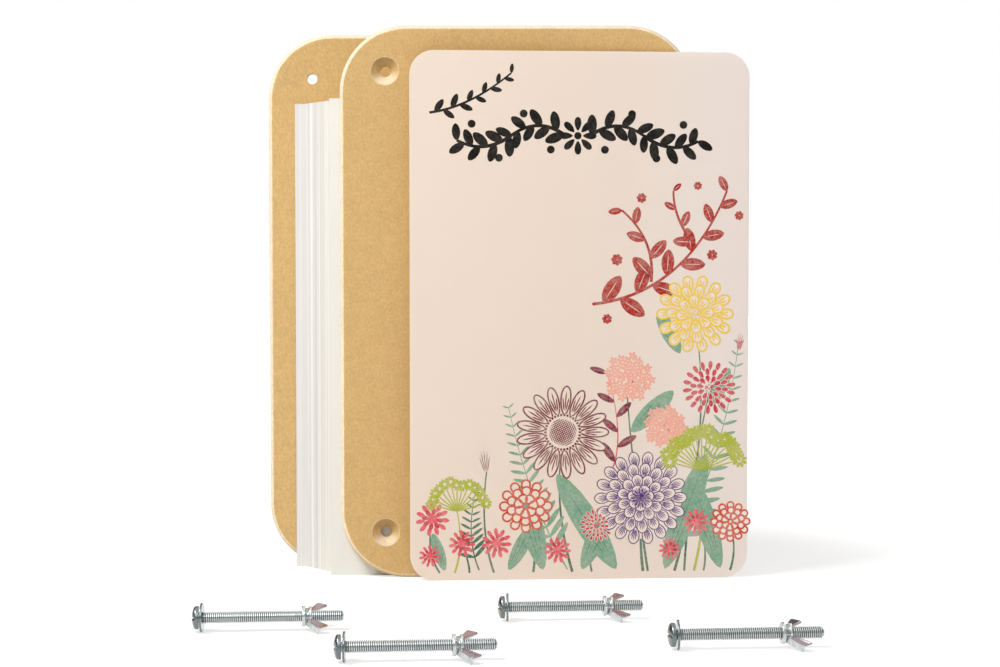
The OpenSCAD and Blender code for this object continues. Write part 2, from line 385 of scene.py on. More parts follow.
def modified(mesh, kind, **settings):
    """The plain mesh that is left when one modifier is applied."""
    thing = linked("work", mesh)
    modifier = thing.modifiers.new(kind, kind)
    things = [thing]
    for key, value in settings.items():
        if isinstance(value, bpy.types.Mesh):
            value = linked("helper", value)
            things.append(value)
        setattr(modifier, key, value)
    graph = bpy.context.evaluated_depsgraph_get()
    result = bpy.data.meshes.new_from_object(thing.evaluated_get(graph), depsgraph=graph)
    for thing in things:
        bpy.data.objects.remove(thing)
    if not result.polygons:
        raise RuntimeError("a modifier left nothing of " + mesh.name)
    return result


def less(mesh, cutter, solver="MANIFOLD"):
    """A mesh without what another takes out of it."""
    return modified(mesh, "BOOLEAN", operation="DIFFERENCE", solver=solver, object=cutter)


def united(first, *others):
    """One closed mesh from several that overlap."""
    for other in others:
        first = modified(first, "BOOLEAN", operation="UNION", solver="MANIFOLD", object=other)
    return first


def piece(name, mesh, body, nodes, material, place=Matrix(), sharp=35):
    """Puts a finished mesh into the scene, on its body and in the place of its nodes."""
    mesh = mesh.copy()
    mesh.name = name
    mesh.transform(place @ Matrix.Scale(MM, 4))
    mesh.materials.clear()
    mesh.materials.append(material)
    mesh.polygons.foreach_set("material_index", [0] * len(mesh.polygons))
    mesh.shade_smooth()
    mesh.set_sharp_from_angle(angle=math.radians(sharp))
    mesh.update()
    thing = linked(name, mesh)
    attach(thing, body)
    if nodes:
        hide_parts(*nodes)


def plain_mesh(made, outwards=False):
    """The mesh of a finished bmesh."""
    if outwards:
        bmesh.ops.recalc_face_normals(made, faces=made.faces)
    mesh = bpy.data.meshes.new("made")
    made.to_mesh(mesh)
    made.free()
    return mesh


def joined(meshes):
    """One mesh from several."""
    made = bmesh.new()
    for mesh in meshes:
        made.from_mesh(mesh)
    return plain_mesh(made)


def turned(radius, height, step, steps):
    """A point at some radius and height, turned by some steps of a full turn."""
    angle = math.tau * step / steps
    return radius * math.cos(angle), radius * math.sin(angle), height


def revolved(profile, steps):
    """A closed mesh from half a section, given as radius and height, that starts and ends on the axis."""
    made = bmesh.new()
    rings = []
    for radius, height in profile:
        count = steps if radius > 0 else 1
        rings.append([made.verts.new(turned(radius, height, step, count)) for step in range(count)])
    for low, high in zip(rings, rings[1:]):
        for step in range(steps):
            corners = [low[step % len(low)], low[(step + 1) % len(low)],
                       high[(step + 1) % len(high)], high[step % len(high)]]
            made.faces.new(list(dict.fromkeys(corners)))
    return plain_mesh(made, outwards=True)


def quads(made, low, high):
    """Faces between two closed rings of vertices."""
    for i in range(len(low)):
        j = (i + 1) % len(low)
        made.faces.new((low[i], low[j], high[j], high[i]))


def ring(profile, steps):
    """A closed mesh from a closed section that stays clear of the axis."""
    made = bmesh.new()
    rings = [[made.verts.new(turned(*point, step, steps)) for point in profile] for step in range(steps)]
    for low, high in zip(rings, rings[1:] + rings[:1]):
        quads(made, low, high)
    return plain_mesh(made, outwards=True)


def slab(outlines):
    """A closed mesh from equal outlines at rising heights, each with its height and points."""
    made = bmesh.new()
    rings = [[made.verts.new((x, y, height)) for x, y in points] for height, points in outlines]
    for low, high in zip(rings, rings[1:]):
        quads(made, low, high)
    made.faces.new(list(reversed(rings[0])))
    made.faces.new(rings[-1])
    return plain_mesh(made)


def block(width, depth, height, middle):
    """A plain block round the third axis."""
    made = bmesh.new()
    bmesh.ops.create_cube(made, size=1)
    shape = Matrix.Translation((0, 0, middle)) @ Matrix.Diagonal((width, depth, height, 1))
    bmesh.ops.transform(made, verts=made.verts, matrix=shape)
    return plain_mesh(made)


def arc(centre, radius, start, end, steps):
    """Points on an arc, with its angles in degrees."""
    angles = [math.radians(start + (end - start) * step / steps) for step in range(steps + 1)]
    return [(centre[0] + radius * math.cos(a), centre[1] + radius * math.sin(a)) for a in angles]


def rounded_rectangle(width, height, corner, steps=16):
    """The outline of a rectangle with round corners, counter-clockwise."""
    points = []
    for number, (x, y) in enumerate(((width, height), (0, height), (0, 0), (width, 0))):
        centre = (abs(x - corner), abs(y - corner))
        points += arc(centre, corner, 90 * number, 90 * number + 90, steps)
    return points


def drawn_in(points, inset):
    """A counter-clockwise outline, moved inwards."""
    moved_points = []
    points = [Vector(point) for point in points]
    for before, here, after in zip(points[-1:] + points, points, points[1:] + points[:1]):
        first, second = (here - before).normalized(), (after - here).normalized()
        inward = Vector((-first.y - second.y, first.x + second.x))
        moved_points.append(tuple(here + inward * inset / (1 + first.dot(second))))
    return moved_points


def rounded_levels(outline, low, high, radius, steps=4):
    """Outlines for a slab whose two long edges are round."""
    turns = [math.pi / 2 * step / steps for step in range(steps + 1)]
    insets = [(radius * (1 - math.sin(a)), radius * (1 - math.cos(a))) for a in turns]
    levels = [(low + rise, drawn_in(outline, inset)) for inset, rise in insets]
    return levels + [(high - rise, drawn_in(outline, inset)) for inset, rise in reversed(insets)]


def touching(start, centre, radius, side):
    """The direction, in degrees, of the line from a point that touches a circle on one side."""
    away = Vector(centre) - Vector(start)
    return math.degrees(math.atan2(away.y, away.x) + side * math.asin(radius / away.length))


def stained(mesh, name, depth_at):
    """Stores with each vertex how far a mark of painted shade or painted reflection has its colour there."""
    depths = mesh.attributes.new(name, "FLOAT", "POINT").data
    for vertex, depth in zip(mesh.vertices, depths):
        depth.value = depth_at(*vertex.co)


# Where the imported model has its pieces

def points_of(node):
    """A node's points at rest."""
    return [vertex.co for vertex in frame["nodes"][node].data.vertices]


def node_names(start):
    """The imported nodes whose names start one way, in order."""
    names = sorted(name for name in frame["nodes"] if name.startswith(start))
    if not names:
        raise RuntimeError("the packed model has no node that starts with " + start)
    return names


def span(points, direction):
    """How far points reach along a direction."""
    reach = [point.dot(direction) for point in points]
    return min(reach), max(reach)


def flat_face(node, towards):
    """The direction of a node's largest flat face that looks one way."""
    areas = {}
    for face in frame["nodes"][node].data.polygons:
        if face.normal.dot(towards) > 0.7:
            key = tuple(round(value, 3) for value in face.normal)
            areas[key] = areas.get(key, 0) + face.area
    return Vector(max(areas, key=areas.get)).normalized()


def basis(right, up, out, origin):
    """The matrix that takes local axes to three directions at an origin."""
    matrix = Matrix((right, up, out)).transposed().to_4x4()
    matrix.translation = origin
    return matrix


def joint(name):
    """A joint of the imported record."""
    for item in frame["record"]["behaviour"]["joints"]:
        if item["name"] == name:
            return item
    raise RuntimeError("no joint named " + name)


def bolt_axis(number):
    """A point on a bolt's axis and the direction from its head to its tip."""
    slide = joint(f"wing_nut_{number}_travel")
    turn = joint(f"bolt_{number}_turn")
    return Vector(turn["pos_m"]), Vector(slide["axis"]).normalized()


def card_space():
    """The cover card's own matrix, from the lower left of its rear face, and its size in millimetres."""
    out = flat_face("cover_card", FRONT)
    axes = UP.cross(out).normalized(), UP, out
    points = points_of("cover_card")
    spans = [span(points, axis) for axis in axes]
    origin = sum((axis * low for axis, (low, high) in zip(axes, spans)), Vector())
    return basis(*axes, origin), [(high - low) / MM for low, high in spans]


# Geometry trees. Lengths in them are in millimetres.

LIFT = 0.0003  # from one instance to the next, so that no two share a plane
PETAL = dict(Length=5.0, Width=2.0, Taper=0.0, Point=0.0, Line=0.25, Outlined=False, Strokes=3,
             Strokes_Only=False, Base=0.0, Top=0.1)
PETALS = dict(**PETAL, Petals=8, Inner=1.0, Material="Material")


def geometry_tree(name, **inputs):
    """An empty geometry tree."""
    return new_tree(name, "GeometryNodeTree", {"Geometry": "Geometry"}, inputs)


def close_tree(leave, geometry, material):
    """Ends a geometry tree with real geometry and its material, and gives the tree."""
    real = add("GeometryNodeRealizeInstances", geometry)
    feed(leave, {"Geometry": add("GeometryNodeSetMaterial", Geometry=real, Material=material)})
    return leave.id_data


def index(tree):
    """The number of each element."""
    return add("GeometryNodeInputIndex", tree=tree)


def along(tree):
    """How far along its curve each point lies, from 0 to 1."""
    return add("GeometryNodeSplineParameter", tree=tree, out="Factor")


def moved(geometry, **how):
    """A geometry with its points moved."""
    return add("GeometryNodeSetPosition", Geometry=geometry, **how)


def shifted(geometry, **how):
    """A geometry, moved or turned as a whole."""
    return add("GeometryNodeTransform", Geometry=geometry, **how)


def chosen(switch, first, second):
    """The first geometry, or the second where the switch is on."""
    return add("GeometryNodeSwitch", switch, first, second, input_type="GEOMETRY")


def together(*geometries):
    """Several geometries as one."""
    tree = geometries[0].socket.id_data
    both = tree.nodes.new("GeometryNodeJoinGeometry")
    for geometry in geometries:
        tree.links.new(geometry.socket, both.inputs[0])
    return Value(both.outputs[0])


def points_at(count, place=None):
    """A number of points."""
    return add("GeometryNodePoints", Count=count, Position=place)


def scattered(low, high, seed):
    """A value between two for each element."""
    return add("FunctionNodeRandomValue", None, None, low, high, Seed=seed, out=1)


def stored(geometry, name, value, domain="POINT", kind="FLOAT"):
    """A geometry with a named attribute."""
    return add("GeometryNodeStoreNamedAttribute", Geometry=geometry, Name=name, Value=value,
               domain=domain, data_type=kind)


def stored_value(tree, name, kind="FLOAT"):
    """The value of a named attribute."""
    return add("GeometryNodeInputNamedAttribute", tree=tree, Name=name, data_type=kind)


def swept(curve, section, **how):
    """A closed body along a curve."""
    return add("GeometryNodeCurveToMesh", Curve=curve, Profile_Curve=section, Fill_Caps=True, **how)


def prism(flat, base, top):
    """A closed plate between two heights from a flat face."""
    low = shifted(flat, Translation=vector(z=base))
    sides = add("GeometryNodeExtrudeMesh", Mesh=low, Offset=vector(z=top - base), Individual=False)
    closed = together(sides, add("GeometryNodeFlipFaces", low))
    return add("GeometryNodeMergeByDistance", Geometry=closed, Distance=0.0005)


def flat_line(curve, width, base, top):
    """A flat closed band along a flat curve."""
    section = add("GeometryNodeCurvePrimitiveQuadrilateral", Width=width, Height=top - base)
    curve = add("GeometryNodeSetCurveNormal", curve, mode="Z_UP")
    return shifted(swept(curve, section), Translation=vector(z=(top + base) * 0.5))


def pen_stroke(base, top):
    """A pointed stroke one long and one wide, along the first axis."""
    dot = add("GeometryNodeMeshCircle", tree=base.socket.id_data, Vertices=6, Radius=0.5, fill_type="NGON")
    return prism(shifted(dot, Translation=(0.5, 0, 0)), base, top)


def instanced(points, instance, rotation=(0, 0, 0), scale=(1, 1, 1), lift=LIFT):
    """Puts an instance on each point, each a little higher than the last."""
    points = moved(points, Offset=vector(z=index(points.socket.id_data) * lift))
    return add("GeometryNodeInstanceOnPoints", Points=points, Instance=instance, Rotation=rotation,
               Scale=scale)


def polar(radius, angle):
    """A vector from a radius and an angle."""
    return vector(radius * calc("COSINE", angle), radius * calc("SINE", angle))


def nested(tree, enter, names):
    """The geometry of a nested tree whose sockets are fed from those of the same name."""
    inputs = {name: getattr(enter, name) for name in names}
    return add("GeometryNodeGroup", node_tree=tree, **inputs)


def petal_tree():
    """One petal or leaf along the first axis: a blade, its outline, or the strokes on it."""
    tree, enter, leave = geometry_tree("petal", **PETAL)
    angle = along(tree) * math.tau
    side = calc("SINE", angle)
    bulge = calc("POWER", calc("ABSOLUTE", side), enter.Point + 1.0)
    bulge = bulge * calc("POWER", calc("SINE", angle * 0.5), enter.Taper)
    x = (calc("COSINE", angle) * -0.5 + 0.5) * enter.Length
    y = calc("SIGN", side) * bulge * enter.Width * 0.5
    outline = add("GeometryNodeCurvePrimitiveCircle", tree=tree, Resolution=18)
    outline = moved(outline, Position=vector(x, y))
    blade = prism(add("GeometryNodeFillCurve", Curve=outline, mode="NGONS"), enter.Base, enter.Top)
    shape = chosen(enter.Outlined, blade, flat_line(outline, enter.Line, enter.Base, enter.Top))

    middle = (enter.Strokes - 1.0) * 0.5
    offset = (index(tree) - middle) / calc("MAXIMUM", middle, 1.0)
    points = points_at(enter.Strokes, vector(enter.Length * 0.14, enter.Width * 0.08 * offset))
    turn = vector(z=enter.Width * 0.42 / enter.Length * offset)
    reach = offset * offset * -0.2 + 0.7
    size = vector(enter.Length * reach, enter.Line, 1.0)
    strokes = instanced(points, pen_stroke(enter.Base, enter.Top), turn, size)
    strokes = add("GeometryNodeRealizeInstances", strokes)
    feed(leave, {"Geometry": chosen(enter.Strokes_Only, shape, strokes)})
    return tree


def petal_ring_tree(petal):
    """Petals in a ring."""
    tree, enter, leave = geometry_tree("petal_ring", **PETALS)
    angle = index(tree) * (math.tau / enter.Petals)
    points = points_at(enter.Petals, polar(enter.Inner, angle))
    made = instanced(points, nested(petal, enter, PETAL), vector(z=angle))
    return close_tree(leave, made, enter.Material)


def seed_head_tree(petal_ring):
    """Small rings of petals that fill a disc, each turned by the golden angle from the last."""
    tree, enter, leave = geometry_tree("seed_head", **{**PETALS, "Inner": 0.0}, Seeds=60, Radius=8.0,
                                       Edge_Size=0.7)
    out = calc("SQRT", (index(tree) + 0.5) / enter.Seeds)
    angle = index(tree) * GOLDEN_ANGLE
    points = points_at(enter.Seeds, polar(out * enter.Radius, angle))
    size = ramp(out, 0.0, 1.0, 1.0, enter.Edge_Size)
    shape = nested(petal_ring, enter, PETALS)
    head = instanced(points, shape, vector(z=angle * 1.7), vector(size, size, 1.0))
    return close_tree(leave, head, enter.Material)


def stem_tree():
    """A flat stem along a path, thinner towards its end."""
    tree, enter, leave = geometry_tree("stem", Geometry="Geometry", Width=0.6, End_Width=0.6, Base=0.0,
                                       Top=0.1, Material="Material")
    position = add("GeometryNodeInputPosition", tree=tree)
    path = add("GeometryNodeMeshToCurve", enter.Geometry)
    path = stored(path, "stem_width", ramp(along(tree), 0.0, 1.0, enter.Width, enter.End_Width))
    path = stored(path, "stem_middle", position, kind="FLOAT_VECTOR")
    band = flat_line(path, 1.0, enter.Base, enter.Top)
    away = vector_calc("SUBTRACT", position, stored_value(tree, "stem_middle", "FLOAT_VECTOR"))
    change = stored_value(tree, "stem_width") - 1.0
    band = moved(band, Offset=vector_calc("MULTIPLY", away, vector(change, change)))
    return close_tree(leave, band, enter.Material)


def leaf_spray_tree(petal):
    """Leaves along a path. Side is 1 or -1 for one side, or 0 for both in turn."""
    tree, enter, leave = geometry_tree("leaf_spray", Geometry="Geometry", **PETAL, Leaves=8, Bare=0.1,
                                       Angle=0.9, Side=0.0, Shrink=0.3, Seed=1, Material="Material")
    path = add("GeometryNodeMeshToCurve", enter.Geometry)
    path = add("GeometryNodeTrimCurve", Curve=path, Start=enter.Bare)
    points = add("GeometryNodeCurveToPoints", Curve=path, Count=enter.Leaves)
    number = index(tree)
    by_turns = calc("MODULO", number, 2.0) * -2.0 + 1.0
    one_sided = calc("COMPARE", calc("ABSOLUTE", enter.Side), 1.0, 0.01)
    side = mixed(one_sided, by_turns, enter.Side)
    across, up, _ = parts(points["Tangent"])
    angle = side * enter.Angle + calc("ARCTAN2", up, across) + scattered(-0.08, 0.08, enter.Seed)
    share = number / calc("MAXIMUM", enter.Leaves - 1.0, 1.0)
    size = (1.0 - share * enter.Shrink) * scattered(0.88, 1.0, enter.Seed)
    spray = instanced(points, nested(petal, enter, PETAL), vector(z=angle), vector(size, size, 1.0))
    return close_tree(leave, spray, enter.Material)


def hatched_disc_tree():
    """A disc drawn as two crossed sets of pen strokes."""
    tree, enter, leave = geometry_tree("hatched_disc", Radius=4.0, Lines=14, Line=0.2, Base=0.0, Top=0.1,
                                       Material="Material")
    offset = ((index(tree) + 0.5) / enter.Lines * 2.0 - 1.0) * enter.Radius
    half = calc("SQRT", enter.Radius * enter.Radius - offset * offset)
    lines = instanced(points_at(enter.Lines, vector(half * -1.0, offset)), pen_stroke(enter.Base, enter.Top),
                      scale=vector(half * 2.0, enter.Line, 1.0))
    crossed = shifted(lines, Rotation=(0, 0, math.radians(86)))
    return close_tree(leave, together(lines, crossed), enter.Material)


def umbel_tree(petal_ring):
    """Thin rays that fan out, each with a ring of small petals at its end."""
    tree, enter, leave = geometry_tree("umbel", **PETALS, Rays=13, Spread=2.2, Reach=12.0, Ray_Line=0.3,
                                       Rays_Only=False, Seed=1)
    share = index(tree) / (enter.Rays - 1.0) - 0.5
    angle = share * enter.Spread + math.pi / 2
    reach = enter.Reach * scattered(0.82, 1.0, enter.Seed)
    rays = instanced(points_at(enter.Rays), pen_stroke(enter.Base, enter.Top), vector(z=angle),
                     vector(reach, enter.Ray_Line, 1.0))
    heads = instanced(points_at(enter.Rays, polar(reach, angle)), nested(petal_ring, enter, PETALS),
                      vector(z=angle))
    return close_tree(leave, chosen(enter.Rays_Only, heads, rays), enter.Material)


def sheet_stack_tree():
    """One thin sheet on each point, each edge wandering a little along its height."""
    tree, enter, leave = geometry_tree("sheet_stack", Geometry="Geometry", Width=100.0, Thickness=0.8,
                                       Height=196.0, Corner=0.14, Sway=0.1, Seed=1, Material="Material")
    section = add("GeometryNodeCurvePrimitiveQuadrilateral", Width=enter.Width, Height=enter.Thickness)
    section = add("GeometryNodeFilletCurve", Curve=section, Radius=enter.Corner, Count=2, Limit_Radius=True,
                  mode="POLY")
    path = add("GeometryNodeCurvePrimitiveLine", Start=(0, 0, 0), End=vector(z=enter.Height))
    path = add("GeometryNodeResampleCurve", Curve=path, Count=32)
    sheets = instanced(enter.Geometry, swept(path, section), lift=0.0)
    sheets = stored(sheets, "sheet_tint", scattered(0.0, 1.0, enter.Seed), "INSTANCE")
    sheets = stored(sheets, "sheet_number", index(tree), "INSTANCE")
    sheets = add("GeometryNodeRealizeInstances", sheets)
    height = parts(add("GeometryNodeInputPosition", tree=tree))[2]
    wander = noise(vector(stored_value(tree, "sheet_tint") * 90.0, height * 0.012), 1.0, 1.0)
    sheets = moved(sheets, Offset=vector((wander * 2.0 - 1.0) * enter.Sway))
    return close_tree(leave, sheets, enter.Material)


def thread_tree():
    """The ridge of a right-hand screw thread that runs out into the core at both ends."""
    tree, enter, leave = geometry_tree("thread", Pitch=0.7, Turns=60.0, Core=1.6, Crest=2.0, Crest_Flat=0.09,
                                       Ridge=0.5, Start=0.0, Sunk=0.1, Steps=24, Material="Material")
    spiral = add("GeometryNodeCurveSpiral", Resolution=enter.Steps, Rotations=enter.Turns, Reverse=True,
                 Start_Radius=enter.Core, End_Radius=enter.Core, Height=enter.Pitch * enter.Turns)
    spiral = add("GeometryNodeSetCurveNormal", spiral, mode="Z_UP")
    depth, sunk = enter.Crest - enter.Core, enter.Sunk * -1.0
    foot, flat = enter.Ridge * 0.5, enter.Crest_Flat * 0.5
    section = add("GeometryNodeCurvePrimitiveQuadrilateral", mode="POINTS",
                  Point_1=vector(sunk, foot * -1.0), Point_2=vector(sunk, foot),
                  Point_3=vector(depth, flat), Point_4=vector(depth, flat * -1.0))
    near_end = calc("MINIMUM", along(tree), 1.0 - along(tree))
    size = ramp(near_end * enter.Turns, 0.0, 0.7, 0.05, 1.0)
    ridge = shifted(swept(spiral, section, Scale=size), Translation=vector(z=enter.Start))
    return close_tree(leave, ridge, enter.Material)


# Shader groups. Lengths in them are in metres.

TONES = {"Color": "Color", "Roughness": "Float"}
FINISH = {**TONES, "Height": "Float"}
SPECKS = (  # how many in a metre, size, how many are left out, strength, colour
    (240.0, 0.06, 0.7, 0.75, "Speck"), (900.0, 0.3, 0.75, 0.07, "Speck"), (480.0, 0.16, 0.5, 0.35, "Pale"),
)


def fibreboard_group():
    """Pressed wood fibre: a faint mottle, short fibres, dark and pale specks, and a paler cut edge whose
    colour also holds painted rim light.
    """
    colours = dict.fromkeys(("Face", "Edge", "Speck", "Pale"), "Color")
    tree, enter, leave = new_tree("fibreboard", "ShaderNodeTree", FINISH,
                                  dict(Place="Vector", **colours, Edge_Share=0.0))
    broad = noise(enter.Place, 30.0)
    blotch = noise(enter.Place, 260.0, 4.0, 0.6)
    fibre = noise(enter.Place, 1300.0, 4.0, 0.75, stretch=(1.0, 1.0, 0.6))
    light = ramp(broad, 0.3, 0.7, 0.985, 1.015) * ramp(blotch, 0.3, 0.7, 0.96, 1.04)
    light = light * ramp(fibre, 0.32, 0.68, 0.9, 1.1)
    tone = shaded(blended(enter.Edge_Share, enter.Face, enter.Edge), light)
    for scale, size, rarity, strength, ink in SPECKS:
        cells = add("ShaderNodeTexVoronoi", Vector=enter.Place, Scale=scale, feature="F1", out="Distance")
        chance = add("ShaderNodeSeparateColor", cells["Color"])
        spot = ramp(cells, size * 0.5, size, strength, 0.0) * calc("GREATER_THAN", chance, rarity)
        tone = blended(spot, tone, getattr(enter, ink))
    feed(leave, {"Color": tone, "Roughness": ramp(fibre, 0.2, 0.8, 0.55, 0.78),
                 "Height": blotch * 0.5 + fibre})
    return tree


def paper_group():
    """Smooth paper stock: faint cloudiness and fine fibre."""
    tree, enter, leave = new_tree("paper_stock", "ShaderNodeTree", FINISH,
                                  dict(Place="Vector", Color="Color", Contrast=0.02))
    fibre = noise(enter.Place, 2200.0, 3.0, 0.6)
    light = (noise(enter.Place, 90.0, 3.0) + fibre - 1.0) * enter.Contrast + 1.0
    feed(leave, {"Color": shaded(enter.Color, light), "Roughness": ramp(fibre, 0.2, 0.8, 0.45, 0.6),
                 "Height": fibre})
    return tree


def ink_group():
    """Printed ink: small patches where the ink lies thinner, and a fine tooth."""
    tree, enter, leave = new_tree("printed_ink", "ShaderNodeTree", TONES,
                                  dict(Place="Vector", Ink="Color", Thin="Color", Wear=0.3))
    patch = noise(enter.Place, 900.0, 4.0, 0.7)
    thin = ramp(noise(enter.Place, 160.0) * 0.6 + patch, 0.62, 1.0) * enter.Wear
    feed(leave, {"Color": blended(thin, enter.Ink, enter.Thin),
                 "Roughness": ramp(patch, 0.2, 0.8, 0.34, 0.5)})
    return tree


def plating_group():
    """Bright zinc plating: faint clouds in its colour, fine scratches and a satin grain."""
    tree, enter, leave = new_tree("zinc_plating", "ShaderNodeTree", FINISH,
                                  dict(Place="Vector", Color="Color", Deep="Color"))
    cloud = noise(enter.Place, 520.0, 3.0, 0.6)
    scratch = noise(enter.Place, 900.0, 2.0, 0.7, stretch=(0.25, 2.5, 2.5))
    feed(leave, {
        "Color": blended(ramp(cloud, 0.35, 0.75, 0.0, 0.55), enter.Color, enter.Deep),
        "Roughness": ramp(cloud, 0.3, 0.7, 0.1, 0.16) + ramp(scratch, 0.5, 0.8, 0.0, 0.12),
        "Height": noise(enter.Place, 5200.0, 2.0, 0.6) * 0.5 + scratch,
    })
    return tree


def group_named(name, build):
    """A node group that is built once and then used again."""
    return bpy.data.node_groups.get(name) or build()


# Materials

def new_material(name):
    """A material, its main shader and the object coordinates that it reads."""
    material = bpy.data.materials.new(name)
    material.use_nodes = True
    tree = material.node_tree
    return material, tree.nodes["Principled BSDF"], add("ShaderNodeTexCoord", tree=tree, out="Object")


def finish(shader, group, bump=None, **inputs):
    """Gives a shader the colour, roughness and height of a group. Bump is its distance and strength."""
    made = add("ShaderNodeGroup", node_tree=group, **inputs)
    feed(shader, {"Base Color": made["Color"], "Roughness": made["Roughness"]})
    if bump:
        distance, strength = bump
        normal = add("ShaderNodeBump", Strength=strength, Distance=distance, Height=made["Height"])
        feed(shader, {"Normal": normal})
    return made


def cut_edge(place, low, high, strength):
    """A share that is full where a sheet's cut edge shows and 0 on its faces."""
    facing = parts(place["Normal"])[1]
    return ramp(calc("ABSOLUTE", facing), low, high, strength, 0.0)


def board_material(name, settings, group, node, outer):
    """Fibreboard whose edge colour starts just under its two faces and is fainter in the sinks, with painted
    light on the sink walls that face up and painted shade on the sink walls and edges that face down.
    """
    material, shader, place = new_material(name)
    low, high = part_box(node)
    middle = [(a + b) / 2 for a, b in zip(low, high)]
    half = [(b - a) / 2 for a, b in zip(low, high)]
    outer_half = calc("GREATER_THAN", parts(place)[1] * outer, middle[1] * outer)
    across, depth, up = (calc("ABSOLUTE", value - centre) for value, centre in zip(parts(place), middle))
    start, inset, radius = settings.edge_start, settings.hole_inset, settings.sink_radius
    edge = ramp(depth, half[1] - start, half[1] - start / 8, 1.0, 0.0)
    from_hole = vector(across - (half[0] - inset), up - (half[2] - inset))
    from_hole = vector_calc("LENGTH", from_hole, out="Value")
    facing_up = parts(place["Normal"])[2]
    sunk = ramp(from_hole, radius, radius * 1.2, 1.0, 0.0)
    # Painted light: inside a sink only the walls that face up take the pale edge colour.
    edge = edge * mixed(sunk, 1.0, ramp(facing_up, -0.1, 0.6, 0.0, 0.75))
    # Painted shade: outside the sinks, edges that face down lose their pale colour.
    edge = edge * mixed(sunk, ramp(facing_up, -0.75, -0.15, 0.15, 1.0), 1.0)
    rim = ramp(calc("ABSOLUTE", from_hole - radius), 0.0, 0.0004, 0.35, 0.0)
    edge = calc("MAXIMUM", edge, outer_half * rim)
    # Painted shade: sink walls that face down are darkened towards the speck colour.
    painted_sink_shade = sunk * ramp(facing_up, -0.6, 0.0, 0.35, 0.0)
    face = blended(painted_sink_shade, settings.face, settings.speck)
    finish(shader, group, (0.00006, 0.6), Place=place, Face=face, Edge=settings.edge, Speck=settings.speck,
           Pale=settings.pale, Edge_Share=edge)
    feed(shader, {"Specular IOR Level": 0.3})
    return material


def paper_material(name, group, colours, count, edge_colour, lines):
    """Paper whose colour runs from the front sheet to the rear one, with bright cut edges."""
    material, shader, place = new_material(name)
    tree = material.node_tree
    number, tint = (add("ShaderNodeAttribute", tree=tree, attribute_name=attribute, out="Fac")
                    for attribute in ("sheet_number", "sheet_tint"))
    tone = blended(number / max(count - 1, 1), *colours)
    tone = blended(cut_edge(place, 0.35, 0.95, 0.5), tone, edge_colour)
    upright = noise(place, 1100.0, 3.0, 0.6, stretch=(1.0, 0.0, 0.003))
    light = ramp(tint, 0.0, 1.0, 0.83, 1.05) * ramp(upright, 0.35, 0.65, 1 - lines, 1 + lines / 2)
    finish(shader, group, (0.00002, 0.5), Place=place, Color=shaded(tone, light), Contrast=0.03)
    feed(shader, {"Specular IOR Level": 0.25})
    return material


def card_material(name, group, settings):
    """Smooth card: its ground colour turns lighter towards the right edge as a painted sheen, and its cut
    edge shows the core.
    """
    material, shader, place = new_material(name)
    low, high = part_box("cover_card")
    # Painted sheen: the ground colour grows lighter from the middle to the right edge.
    share = ramp(parts(place)[0], low[0] + (high[0] - low[0]) * 0.45, high[0])
    tone = blended(share, settings.ground, settings.ground_right)
    tone = blended(cut_edge(place, 0.3, 0.9, 1.0), tone, settings.core)
    finish(shader, group, (0.00001, 0.4), Place=place, Color=tone, Contrast=0.016)
    feed(shader, {"Specular IOR Level": 0.3})
    return material


def ink_material(name, group, ink, thin, wear):
    """One printed ink."""
    material, shader, place = new_material(name)
    finish(shader, group, Place=place, Ink=ink, Thin=thin, Wear=wear)
    feed(shader, {"Specular IOR Level": 0.2})
    return material


def metal_material(name, settings, painted_marks, rougher=0.0):
    """Zinc-plated steel. Each painted mark of shade or reflection is the attribute that says where it lies,
    and its colour.
    """
    material, shader, place = new_material(name)
    group = group_named("zinc_plating", plating_group)
    made = finish(shader, group, (0.000006, 0.35), Place=place, Color=settings.zinc, Deep=settings.dull)
    shown = made["Color"]
    for attribute, painted_colour in painted_marks:
        depth = add("ShaderNodeAttribute", tree=material.node_tree, attribute_name=attribute, out="Fac")
        shown = blended(ramp(depth, 0.5, 0.85), shown, painted_colour)
    feed(shader, {"Base Color": shown, "Roughness": made["Roughness"] + rougher, "Metallic": 1.0})
    return material


# Print

PLATE_FOOT = 0.03  # how deep a plate reaches into the card, in millimetres
PLATE_STEPS = 32  # how many plates in a row lie at heights of their own


def curve_points(start, bend, end, steps=22):
    """Points on a smooth curve between two places, pulled towards a third."""
    start, bend, end = (Vector((*place, 0)) for place in (start, bend, end))
    times = [step / steps for step in range(steps + 1)]
    return [start * (1 - t) ** 2 + bend * 2 * t * (1 - t) + end * t ** 2 for t in times]


